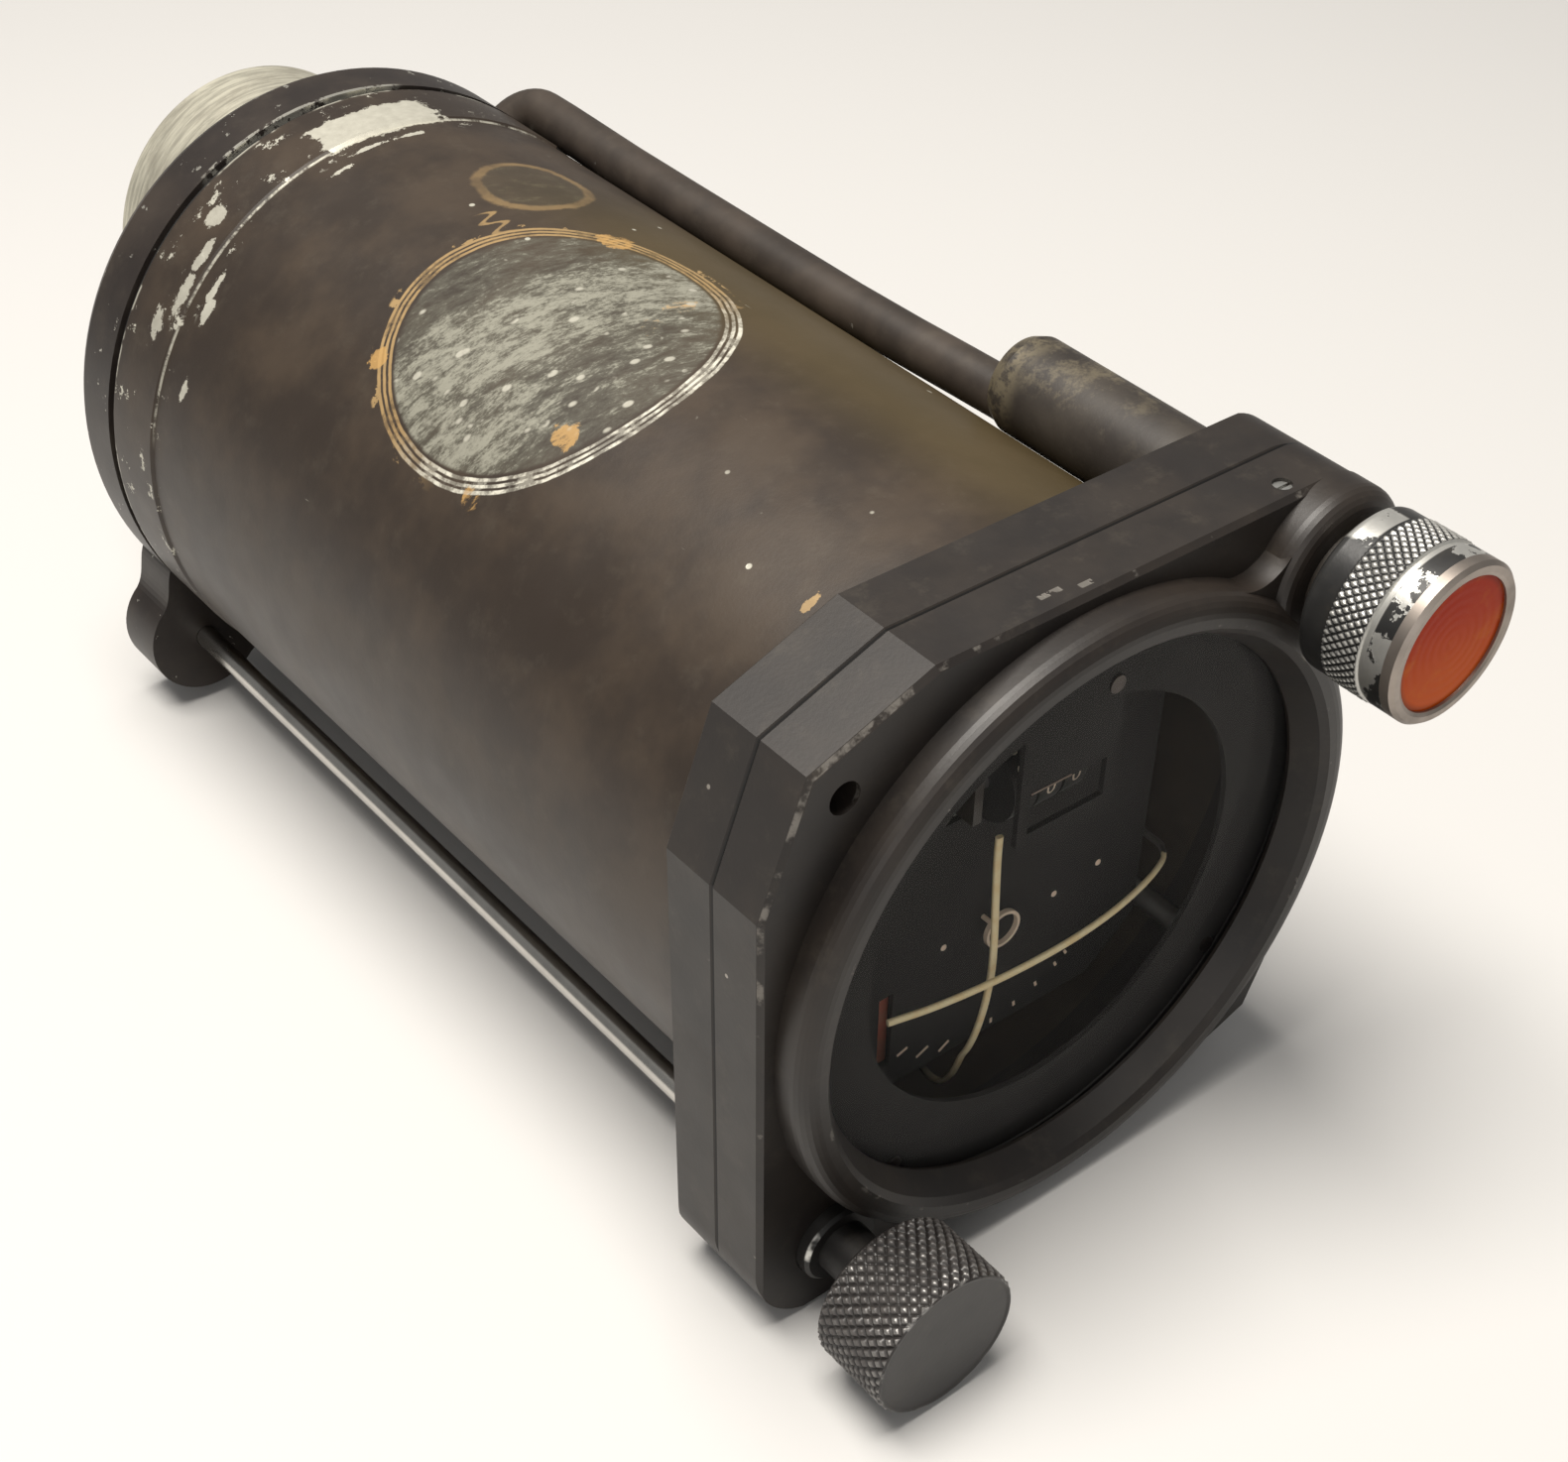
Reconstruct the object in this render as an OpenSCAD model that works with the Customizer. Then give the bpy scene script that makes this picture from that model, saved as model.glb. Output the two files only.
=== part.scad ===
// Round-case cross-pointer course indicator for a panel.
// Front flange with a raised glass ring, marker lamp at the upper right, course
// set knob at the lower left, an outside set shaft to a gear lug on the rear
// cover, and a rear connector. Millimetres, +Z up, the dial faces -Y.
// The origin is the centre of the flange's front face, on the case axis.

/* [Flange and ring] */
// Half the width of the square flange
flange_half = 41.3; // [41:0.1:43]
// Thickness of the front layer, which carries the ring
front_layer = 7.6; // [7:0.1:9]
// Thickness of the rear layer, which carries the case
rear_layer = 7.5; // [6:0.1:9]
// How far the raised ring stands in from the flange's sides
ring_inset = 1.8; // [1.4:0.1:2.1]
// Height of the raised ring in front of the flange
ring_h = 4.6; // [3.6:0.1:5.2]
// Width of the ring's front from its outside to its opening
ring_w = 4.1; // [3.5:0.1:4.9]
// How much narrower the ring's opening is at the glass
lip_slope = 1.6; // [1:0.1:2.2]
// Length along a side that the corner facets take off
facet_len = 20.7; // [18.3:0.1:23]
// Depth of the point where two corner facets meet
facet_in = 5.7; // [5.1:0.1:6.1]
// Chamfer along the flange's front edge
edge_cut = 0.6; // [0.3:0.1:0.9]
// Radius of the lamp and knob corners
round_corner_r = 9.8; // [9:0.1:10.4]
// How far the mounting bolt circle lies outside the flange's half width
bolt_out = 3.15; // [2.7:0.05:3.5]
// Radius of the mounting holes
bolt_hole_r = 1.85; // [1.5:0.05:2.2]

/* [Case] */
// How far the case tube stands in from the flange's sides
case_inset = 2.4; // [2.3:0.1:2.7]
// Wall of the case tube
case_wall = 1.3; // [1:0.1:1.4]
// Distance from the flange's front face to the end of the case tube
case_end = 139.9; // [139.6:0.1:141]
// Width of the raised band at the end of the case tube
band_w = 10.8; // [8:0.1:13]
// Height of the raised band
band_h = 0.35; // [0.2:0.05:0.5]
// Thickness of the rubber ring between case and rear cover
seal_t = 0.8; // [0.6:0.1:1]
// Depth of the rear cover
cover_d = 8.4; // [8.4:0.1:9.4]
// How far the rear cover stands out past the case tube
cover_lip = 0.4; // [0.2:0.1:0.9]
// Radius of the gear lug
lug_r = 8.3; // [8:0.1:9]

/* [Connector] */
// Outer radius of the connector shell
shell_r = 22; // [21:0.1:22.2]
// Length of the connector shell behind the cover
shell_len = 19.8; // [16:0.1:22]
// Height of the connector's centre above the case axis
shell_up = 12; // [11:0.1:12.3]
// Radius of one contact pin
pin_r = 0.8; // [0.6:0.05:1]

/* [Course setting] */
// Gap between the case tube and the set shaft that runs beside it
shaft_gap = 3.53; // [3.3:0.01:3.7]
// Radius of the set knob
knob_r = 9.5; // [9:0.1:10]
// Length of the set knob
knob_len = 10.8; // [9:0.1:14]
// Gap between the flange face and the knob
knob_gap = 8.6; // [7:0.1:10]
// Radius of the set shaft
rod_r = 1.55; // [1.4:0.05:1.7]
// Radial clearance of a shaft in its bearing
run = 0.05; // [0.03:0.01:0.08]

/* [Marker lamp] */
// Gap between the case tube and the lamp tube
lamp_gap = 0.17; // [0.15:0.01:0.3]
// Outer radius of the lamp tube
lamp_r = 5.9; // [5.5:0.1:5.9]
// Where the lamp tube ends behind the flange face
lamp_end = 46; // [44:0.5:49]
// Radius of the knurled lamp cap
cap_r = 9.5; // [9:0.1:10]
// Length of the lamp cap with its rim
cap_len = 13; // [12:0.1:15]
// Gap between the flange face and the lamp cap
cap_gap = 6.1; // [5.4:0.1:7]
// Radius of the amber lens
lens_r = 7.7; // [7.2:0.1:7.9]
// Radius of the wiring conduit
conduit_r = 3; // [2.8:0.1:3.1]
// Where the conduit's bend starts
conduit_end = 123.8; // [118:0.2:127]

/* [Dial] */
// Width of the mask's ring
mask_w = 10.8; // [10.3:0.1:11.8]
// Depth of the dial face behind the flange face
dial_y = 10.6; // [10.4:0.1:11]
// Height of the counter drums' axis
drum_z = 15.2; // [15:0.1:15.6]
// Radius of a counter drum
drum_r = 5; // [4.6:0.1:5.2]
// Distance of the pointer staffs behind the flange face
staff_y = 40; // [40:0.1:41]
// Radius of the dial plate, behind the mask
dial_r = 31; // [29:0.1:31.5]
// Width of the pointers
pointer_w = 0.9; // [0.8:0.05:1]

/* [Hidden] */
e = 0.02;
big = $preview ? 48 : 72;
med = 36;
small = 20;
rear_face = front_layer + rear_layer;
ring_r = flange_half - ring_inset;
lip_front_r = ring_r - ring_w;
lip_rear_r = lip_front_r - lip_slope;
facet_start = flange_half - facet_len;
facet_meet = flange_half - facet_in;
bolt_circle_r = flange_half + bolt_out;
case_r = flange_half - case_inset;
cover_r = case_r + cover_lip;
d_axis = case_r + shaft_gap + rod_r;
knob_off = d_axis / sqrt(2);
lamp_d = case_r + lamp_gap + lamp_r;
lamp_off = lamp_d / sqrt(2);
glass_t = 1.8;
glass_y = -0.4;
bezel_bore = lip_rear_r + 3;
glass_r = bezel_bore - 0.4;
opening_r = bezel_bore - mask_w;
case_in = case_r - case_wall;
k = case_in / 37.6;
cover_y = case_end + seal_t;
cover_end = cover_y + cover_d;
cover_wall = 1.6;
cover_in = case_in - 0.2;
lug_front = 0.4;
insert_r = shell_r - 6.5;
set_dx = 4.4;
collar_r = flange_half - lamp_off;
screw_ring = bezel_bore + 2.4;
cover_screw_r = case_in - 2;
tie_r = case_in - 4.4;
plate_y = staff_y - 13;
plate_t = 1.5;

// Tooth counts, and the module at which three gear centres reach from the knob's axis to the case axis
n_set = 14;
n_big = 28;
n_mid = 15;
n_main = 90;
n_top = 15;
gm = d_axis / ((n_set + n_big + n_mid + n_main) / 2 - 0.2);
d_set = gm * (n_set + n_big) / 2;
d_mid = gm * (n_mid + n_main) / 2;
d_top = gm * (n_main + n_top) / 2;
along = (d_mid * d_mid + d_axis * d_axis - d_set * d_set) / (2 * d_axis);
aside = sqrt(max(0, d_mid * d_mid - along * along));
cl_x = (-along + aside) / sqrt(2);
cl_z = (-along - aside) / sqrt(2);
a_mid = atan2(-cl_z, -cl_x);
a_set = atan2(cl_z + knob_off, cl_x + knob_off);
fm = 0.4;
n_step = 36;
n_drum = 12;
n_bev = 24;
n_bevs = 12;
d_step = fm * (n_step + n_drum) / 2;
mask_y = glass_y + glass_t + 0.3;
mask_t = 0.7;
drum_y = mask_y + mask_t + 6.6;
cross_y = drum_y + 9;
cross_z = drum_z + sqrt(d_step * d_step - 81);
top_x = sqrt(d_top * d_top - cross_z * cross_z);
bev_r = fm * n_bev / 2;
bevs_r = fm * n_bevs / 2;
gear_y = case_end + 1.8;
gear_t = 2;
gear2_y = gear_y + gear_t + 0.6;
rear_plate_y = gear_y - 5.6;
res_y = rear_plate_y - 46.1;
res_r = 19 * k;

// Pointer movements
h_z = -9.3 * k;
arm_x = 24.8 * k;
arm_z = -33.4 * k;
v_path = [[8.8, -34], [5.4, -34.05], [0, -34.4], [-4.6, -34.75], [-9.3, -34.9], [-14, -34.5], [-18, -33.8],
    [-22, -32.8], [-25, -31.75], [-27, -30.8], [-29.5, -29.95], [-31.9, -28.95], [-34.4, -27.3],
    [-35.5, -25.6], [-35.8, -23.9], [-35.2, -20.5], [-33.9, -17.5], [-33.4, -14], [-33.4, 4]];
h_path = [[-19.6, -34.3], [-14, -35.5], [-7.6, -36.35], [-2, -36.75], [3.3, -36.85], [8, -36.65],
    [12.9, -36.1], [17, -35.3], [20, -34.5], [22.2, -33.7], [23.6, -32.9], [24.5, -31.6], [24.8, -29.5],
    [24.8, 4]];
v_rest = -7.78;
yoke_r = 9.5 * k;
yoke_in = 7.4 * k;
core_r = 5 * k;
coil_x = (yoke_in + core_r) / 2;
v_hi = h_z - yoke_r - 3.6;
v_lo = v_hi - 8.8 * k;
ring_z = -8.9;
mark_r = 2.5;
mark_leg = (mark_r - 0.25) / sqrt(2);
flag_x = -23.5 * k;
post_r = bezel_bore - 2.2;
posts = [[78.7, opening_r + 1.5, mask_y + 3], [140, post_r, plate_y], [232, post_r, plate_y], [322, post_r, plate_y]];

// Concave corner between the raised ring and the lamp collar
nook_r = 5;
nook_d = ring_r + nook_r;
nook_a = acos((nook_d * nook_d + lamp_d * lamp_d - (collar_r + nook_r) * (collar_r + nook_r))
    / (2 * nook_d * lamp_d));

// Conduit position, measured from the case axis
cd_r = case_r + conduit_r + 0.9;
cd_a = 43.6;
cd_x = cd_r * cos(cd_a);
cd_z = cd_r * sin(cd_a);

function inv(a) = tan(a) * 180 / PI - a;
function half_at(r, rp, rb, n, bl) = 90 / n - bl * 90 / (PI * rp) + inv(acos(rb / rp))
    - inv(acos(rb / max(r, rb + 0.001)));

// Plan of a spur gear: four points for each tooth, cut on the true flank curve at root and tip
module gear2d(n, m, phase = 0, add = 0.8, ded = 1.05, bl = 0.1) {
    rp = n * m / 2;
    rb = rp * cos(25);
    rt = rp + add * m;
    rr = rp - ded * m;
    hr = half_at(rr, rp, rb, n, bl);
    ht = half_at(rt, rp, rb, n, bl);
    polygon([for (i = [0 : n - 1]) for (p = [[rr, -hr], [rt, -ht], [rt, ht], [rr, hr]])
        let (a = phase + i * 360 / n + p[1]) [p[0] * cos(a), p[0] * sin(a)]]);
}

// Plan of a bevel gear's large end
module bevel2d(n, rp, add, ded, phase) {
    polygon([for (i = [0 : n - 1]) for (p = [[rp - ded, -0.30], [rp + add, -0.12],
        [rp + add, 0.12], [rp - ded, 0.30]])
        let (a = phase + (i + p[1]) * 360 / n) [p[0] * cos(a), p[0] * sin(a)]]);
}

// Slab between two depths, drawn in the front view (X across, Z up)
module slab(y0, y1) {
    translate([0, y1, 0]) rotate([90, 0, 0]) linear_extrude(y1 - y0) children();
}

// Round bar along Y
module bar(x, z, y0, y1, r, f = med) {
    translate([x, y1, z]) rotate([90, 0, 0]) cylinder(h = y1 - y0, r = r, $fn = f);
}

// Round bar along X
module xbar(y, z, x0, x1, r, f = small) {
    translate([x0, y, z]) rotate([0, 90, 0]) cylinder(h = x1 - x0, r = r, $fn = f);
}

// Turned body about an axis along Y, profile points are [radius, depth]
module turned(x, z, pts, f = med) {
    translate([x, 0, z]) rotate([90, 0, 0]) rotate_extrude($fn = f)
        polygon([for (p = pts) [p[0], -p[1]]]);
}

// Points of an arc from angle a0 to a1, as [radius, depth] pairs for a turned outline
function arc(cx, cy, r, a0, a1, n = 6) = [for (i = [0 : n]) let (a = a0 + (a1 - a0) * i / n)
    [cx + r * cos(a), cy + r * sin(a)]];

// Flat ribbon of width w along a list of points
module ribbon(p, w) {
    n = len(p);
    d = [for (i = [0 : n - 1]) let (a = p[max(0, i - 1)], b = p[min(n - 1, i + 1)]) (b - a) / norm(b - a)];
    polygon(concat([for (i = [0 : n - 1]) p[i] + [-d[i][1], d[i][0]] * w / 2],
        [for (i = [n - 1 : -1 : 0]) p[i] - [-d[i][1], d[i][0]] * w / 2]));
}

// Outline of the flange: square, two faceted corners and two round ones
module flange2d() {
    h = flange_half;
    c = h - round_corner_r;
    difference() {
        polygon([[-facet_start, h], [-facet_meet, facet_meet], [-h, facet_start], [-h, -h], [facet_start, -h],
            [facet_meet, -facet_meet], [h, -facet_start], [h, h]]);
        for (s = [1, -1]) difference() {
            translate([s * (c + round_corner_r / 2 + 1), s * (c + round_corner_r / 2 + 1)])
                square(round_corner_r + 2, center = true);
            translate([s * c, s * c]) circle(r = round_corner_r, $fn = med);
        }
    }
}

// Cuts that break the flange's edge at depth y by w, one for each straight side
module edge_cuts(y, w) {
    h = flange_half;
    q = [[[h, h], [-facet_start, h]], [[-facet_start, h], [-facet_meet, facet_meet]],
        [[-facet_meet, facet_meet], [-h, facet_start]], [[-h, facet_start], [-h, -h]]];
    for (s = [0, 180]) for (p = q) {
        d = p[1] - p[0];
        a = atan2(-d[0], d[1]) + s;
        far = abs(p[0][0] * d[1] - p[0][1] * d[0]) / norm(d);
        translate([0, y, 0]) rotate([0, -a, 0]) translate([far, 0, 0]) rotate([0, 0, 45])
            cube([w * sqrt(2), w * sqrt(2), 4 * h], center = true);
    }
}

module bolt_holes(y0, y1, r) {
    for (s = [1, -1]) bar(-s * bolt_circle_r / sqrt(2), s * bolt_circle_r / sqrt(2), y0, y1, r, small);
}

// Front layer with the raised ring and the lamp collar, one casting
module bezel() color([0.07, 0.07, 0.07]) difference() {
    union() {
        difference() {
            slab(0, front_layer) flange2d();
            edge_cuts(0, edge_cut);
            edge_cuts(front_layer, 0.3);
        }
        turned(0, 0, concat([[lip_rear_r - 3, 1], [ring_r, 1]], arc(ring_r - 2.2, -ring_h + 2.2, 2.2, 0, -90),
            [[lip_rear_r - 3, -ring_h]]), big);
        turned(lamp_off, lamp_off, concat([[0, 1], [collar_r, 1]],
            arc(collar_r - 2.2, -ring_h + 2.6, 2.2, 0, -90), [[0, -ring_h + 0.4]]));
        nooks();
    }
    turned(0, 0, [[0, -ring_h - 1], [lip_front_r + 0.8, -ring_h - e], [lip_front_r, -ring_h + 0.8],
        [lip_rear_r, glass_y - 0.4], [lip_rear_r, glass_y], [bezel_bore, glass_y],
        [bezel_bore, front_layer + 1], [0, front_layer + 1]], big);
    bolt_holes(-1, front_layer + 1, bolt_hole_r);
    bar(lamp_off, lamp_off, -ring_h - 1, front_layer + 1, lamp_r + run);
    bar(-knob_off, -knob_off, -1, front_layer + 1, 3.6, small);
    bar(-knob_off, -knob_off, -ring_h - 1, 0.8, 5.1);
    translate([lamp_off - set_dx, front_layer / 2 - 1.4, lamp_off + 3]) cylinder(h = 12, r = 1.1, $fn = small);
    for (a = [80, 190, 260, 350]) rotate([0, -a, 0])
        bar(screw_ring, 0, front_layer - 3.6, front_layer + 1, 0.9, small);
}

// Fills that carry the raised ring over into the lamp collar in a hollow curve
module nooks() slab(-ring_h + 1.5, 1) for (s = [1, -1]) difference() {
    polygon([[lamp_off * 0.8, lamp_off * 0.8], ring_r * [cos(45 + s * nook_a), sin(45 + s * nook_a)],
        nook_d * [cos(45 + s * nook_a), sin(45 + s * nook_a)],
        [lamp_off, lamp_off] + (nook_d * [cos(45 + s * nook_a), sin(45 + s * nook_a)]
            - [lamp_off, lamp_off]) * collar_r / (collar_r + nook_r)]);
    translate(nook_d * [cos(45 + s * nook_a), sin(45 + s * nook_a)]) circle(r = nook_r + 0.12, $fn = big);
}

// Countersunk screws that hold the two flange layers together from the rear
module bezel_screws() color([0.35, 0.35, 0.36]) for (a = [80, 190, 260, 350]) rotate([0, -a, 0])
    turned(screw_ring, 0, [[0, front_layer - 3.6], [0.9, front_layer - 3.6], [0.9, front_layer + 1.6],
        [1.5, front_layer + 1.6], [1.5, front_layer + 2.8], [0, front_layer + 2.8]], small);

// Rear layer, counterbored for the case tube
module case_flange() color([0.08, 0.08, 0.08]) difference() {
    slab(front_layer, rear_face) flange2d();
    edge_cuts(front_layer, 0.3);
    edge_cuts(rear_face, 0.4);
    bar(0, 0, front_layer - 1, rear_face + 1, case_in, big);
    bar(0, 0, front_layer + 4, rear_face + 1, case_r, big);
    bolt_holes(front_layer - 1, rear_face + 1, 3);
    bar(lamp_off, lamp_off, front_layer - 1, rear_face + 1, lamp_r + run);
    bar(-knob_off, -knob_off, front_layer - 1, rear_face + 1, 3.6, small);
    for (a = [80, 190, 260, 350]) rotate([0, -a, 0]) turned(screw_ring, 0, [[0, front_layer - 1],
        [0.95, front_layer - 1], [0.95, front_layer + 1.6], [1.52, front_layer + 1.6],
        [1.52, front_layer + 4.5], [0, front_layer + 4.5]], small);
}

// Captive inserts in the two mounting holes
module mount_inserts() color([0.72, 0.57, 0.28]) difference() {
    bolt_holes(front_layer, rear_face, 3);
    bolt_holes(front_layer - 1, rear_face + 1, bolt_hole_r);
}

// Drawn case tube with the raised rear band
module case_can() color([0.11, 0.1, 0.09]) difference() {
    turned(0, 0, [[case_in, front_layer + 4], [case_r, front_layer + 4], [case_r, case_end - band_w],
        [case_r + band_h, case_end - band_w + 0.4], [case_r + band_h, case_end - 0.6], [case_r, case_end],
        [case_in, case_end]], big);
    rotate([0, -cd_a, 0]) xbar(conduit_end + 4.2, 0, case_in - 3, case_r + 3, 4.3);
}

module glass() color([0.8, 0.85, 0.85, 0.35]) bar(0, 0, glass_y, glass_y + glass_t, glass_r, big);

module glass_gasket() color([0.05, 0.05, 0.05]) turned(0, 0, [[post_r + 1.2, glass_y + glass_t],
    [bezel_bore - 0.1, glass_y + glass_t], [bezel_bore - 0.1, mask_y], [post_r + 1.2, mask_y]], big);

// Mask behind the glass: ring with a tongue that carries the counter's window
module dial_mask() color([0.06, 0.06, 0.06]) difference() {
    slab(mask_y, mask_y + mask_t) difference() {
        union() {
            difference() {
                circle(r = bezel_bore - 0.1, $fn = big);
                circle(r = opening_r, $fn = big);
            }
            translate([-6.8, drum_z - 3.9]) square([13.6, opening_r + 5.2 - drum_z]);
        }
        translate([-5.4, drum_z - 2.6]) square([10.8, 5]);
    }
    for (p = posts) rotate([0, -p[0], 0]) bar(p[1], 0, mask_y - 1, mask_y + 2, 0.65, small);
}

module mask_screws() color([0.6, 0.6, 0.6]) for (p = posts) rotate([0, -p[0], 0])
    turned(p[1], 0, [[0, mask_y - 0.25], [1.05, mask_y - 0.25], [1.05, mask_y], [0.6, mask_y],
        [0.6, mask_y + 2.4], [0, mask_y + 2.4]], small);

// Dial plate behind the pointers
module dial_plate() color([0.05, 0.05, 0.05]) difference() {
    slab(dial_y, dial_y + 0.8) difference() {
        intersection() {
            circle(r = dial_r * k, $fn = big);
            translate([-dial_r * k - 1, arm_z + 7]) square([dial_r * k + arm_x - 0.2, 2 * dial_r * k]);
        }
        translate([-9.6, 9.2]) square([19.8, dial_r]);
        translate([flag_x + 7, -22.7 * k]) square([2, 11]);
    }
    bar(-mark_leg, ring_z + mark_leg, dial_y - 1, dial_y + 2, 0.35, small);
}

// Small centre ring held in front of the dial on one leg
module centre_ring() color([0.85, 0.8, 0.62]) {
    difference() {
        bar(0, ring_z, dial_y - 1.8, dial_y - 1.2, mark_r, med);
        bar(0, ring_z, dial_y - 3, dial_y - 0.5, mark_r - 0.4, med);
    }
    bar(-mark_leg, ring_z + mark_leg, dial_y - 1.4, dial_y + 1.6, 0.3, small);
}

// Posts between mask, dial plate and front plate, and the nut of the screw beside the window
module dial_posts() color([0.6, 0.6, 0.58]) {
    for (p = posts) rotate([0, -p[0], 0]) difference() {
        bar(p[1], 0, mask_y + mask_t, p[2], 1.4, small);
        bar(p[1], 0, mask_y, mask_y + 2.6, 0.6, small);
    }
    for (p = [[-10, -20], [-21, 7], [15, -20], [18, 12]])
        bar(p[0] * k, p[1] * k, dial_y + 0.8, plate_y, 1.3, small);
}

module lamp_set_screw() color([0.4, 0.4, 0.4]) difference() {
    translate([lamp_off - set_dx, front_layer / 2 - 1.4, lamp_off + lamp_r - 0.6])
        cylinder(h = flange_half - lamp_off - lamp_r + 0.2, r = 1.1, $fn = small);
    translate([lamp_off - set_dx - 2, front_layer / 2 - 1.6, flange_half - 1]) cube([4, 0.4, 2]);
}

// Lamp tube through the flange, with a closed domed rear end
module lamp_housing() color([0.1, 0.09, 0.08]) difference() {
    turned(lamp_off, lamp_off, [[lamp_r - 1, -cap_gap - 5.5], [lamp_r, -cap_gap - 5.5], [lamp_r, rear_face],
        [lamp_r, lamp_end - 2.4], [lamp_r - 0.6, lamp_end - 0.9], [lamp_r - 2.2, lamp_end], [0, lamp_end],
        [0, lamp_end - 1.6], [lamp_r - 1, lamp_end - 3]]);
    bar(cd_x, cd_z, lamp_end - 3, lamp_end + 1, conduit_r);
}

module lamp_socket() color([0.25, 0.12, 0.06]) turned(lamp_off, lamp_off, [[3.7, 2], [lamp_r - 1.05, 2],
    [lamp_r - 1.05, 26], [1.3, 26], [1.3, 22], [3.7, 22]], small);

module lamp_bulb() color([0.85, 0.85, 0.8]) turned(lamp_off, lamp_off, [[0, -10.5], [1.6, -10.1],
    [2.8, -8.8], [3.2, -7], [3.2, 1.5], [3.6, 2.5], [3.6, 12], [2, 13], [0, 13]], small);

module lamp_contact() color([0.75, 0.6, 0.3]) turned(lamp_off, lamp_off, [[0, 13], [2.4, 13], [2.4, 15],
    [1.2, 15], [1.2, 29], [0, 29]], small);

// Knurled cap that turns on the lamp tube
module lamp_cap() color([0.1, 0.1, 0.1]) turned(lamp_off, lamp_off, [[lamp_r + run, -cap_gap],
    [cap_r - 0.9, -cap_gap], [cap_r - 0.3, -cap_gap - 0.7], [cap_r - 0.3, -cap_gap - 2.9], [cap_r, -cap_gap - 3.1],
    [cap_r, -cap_gap - 8.2], [cap_r - 0.5, -cap_gap - 8.6], [cap_r - 0.2, -cap_gap - 9],
    [cap_r - 0.2, -cap_gap - cap_len + 1.7], [lens_r + 0.1, -cap_gap - cap_len + 1.7],
    [lens_r + 0.1, -cap_gap - cap_len + 2.6], [lens_r - 1.2, -cap_gap - cap_len + 2.6],
    [lens_r - 1.2, -cap_gap - 7.5], [lamp_r + run, -cap_gap - 7.5]], med);

module lamp_lens() color([0.9, 0.45, 0.08, 0.8]) bar(lamp_off, lamp_off, -cap_gap - cap_len + 0.5,
    -cap_gap - cap_len + 2.6, lens_r);

module lens_rim() color([0.7, 0.7, 0.7]) turned(lamp_off, lamp_off, [[lens_r, -cap_gap - cap_len + 1.7],
    [lens_r, -cap_gap - cap_len + 0.2], [lens_r + 0.4, -cap_gap - cap_len], [cap_r - 0.7, -cap_gap - cap_len],
    [cap_r - 0.3, -cap_gap - cap_len + 0.5], [cap_r - 0.3, -cap_gap - cap_len + 1.7]]);

// Wiring conduit from the lamp tube to the rear of the case
module conduit() color([0.1, 0.1, 0.1]) difference() {
    conduit_line(conduit_r, 0, med);
    conduit_line(conduit_r - 0.8, 1, small);
}

// Round bar along the conduit's route, longer by g at both ends
module conduit_line(r, g, f) rotate([0, -cd_a, 0]) {
    bar(cd_r, 0, lamp_end - 3 - g, conduit_end, r, f);
    translate([cd_r - 4.2, conduit_end, 0]) rotate_extrude(angle = 90, $fn = f)
        translate([4.2, 0]) circle(r = r, $fn = f);
    xbar(conduit_end + 4.2, 0, case_in - 1.5 - g, cd_r - 4.2, r, f);
}

// Ferrule round the conduit where it enters the case
module conduit_ferrule() color([0.12, 0.12, 0.12]) rotate([0, -cd_a, 0]) difference() {
    xbar(conduit_end + 4.2, 0, case_in - 1, case_r - 0.35, 4.3);
    xbar(conduit_end + 4.2, 0, case_in - 4, case_r + 4, conduit_r, med);
}

// Course set knob with a relieved rear and a flat face
module set_knob() color([0.09, 0.09, 0.09]) difference() {
    turned(-knob_off, -knob_off, [[0, -knob_gap - knob_len], [knob_r - 0.5, -knob_gap - knob_len],
        [knob_r, -knob_gap - knob_len + 0.5], [knob_r, -knob_gap - 0.8], [knob_r - 0.8, -knob_gap],
        [6.2, -knob_gap], [5.6, -knob_gap - 1.2], [0, -knob_gap - 1.2]]);
    bar(-knob_off, -knob_off, -knob_gap - knob_len + 2.2, 0, rod_r, small);
    translate([-knob_off, -knob_gap - knob_len / 2, -knob_off]) cylinder(h = 12, r = 0.9, $fn = small);
}

module knob_screw() color([0.3, 0.3, 0.3]) difference() {
    translate([-knob_off, -knob_gap - knob_len / 2, -knob_off + rod_r])
        cylinder(h = knob_r - rod_r - 1.6, r = 0.9, $fn = small);
    translate([-knob_off - 2, -knob_gap - knob_len / 2 - 0.15, -knob_off + knob_r - 2.2]) cube([4, 0.3, 2]);
}

// Bearing bush of the set shaft in the flange
module front_bushing() color([0.65, 0.62, 0.55]) difference() {
    turned(-knob_off, -knob_off, [[0, rear_face + 0.8], [3.6, rear_face + 0.8], [3.6, 0.8], [5, 0.8], [5, -1.4],
        [4.6, -1.8], [3.3, -1.8], [3.3, -knob_gap + 1.2], [0, -knob_gap + 1.2]]);
    bar(-knob_off, -knob_off, -knob_gap, rear_face + 2, rod_r + run, small);
}

module set_shaft() color([0.75, 0.76, 0.78]) bar(-knob_off, -knob_off, -knob_gap - knob_len + 2.4,
    cover_end - 0.8, rod_r, small);

module set_pinion() color([0.78, 0.62, 0.3]) difference() {
    union() {
        translate([-knob_off, 0, -knob_off]) slab(gear2_y, gear2_y + gear_t) gear2d(n_set, gm, a_set);
        bar(-knob_off, -knob_off, gear2_y - 1, gear2_y, 3, small);
    }
    bar(-knob_off, -knob_off, gear2_y - 2, gear2_y + gear_t + 1, rod_r, small);
}

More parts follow.
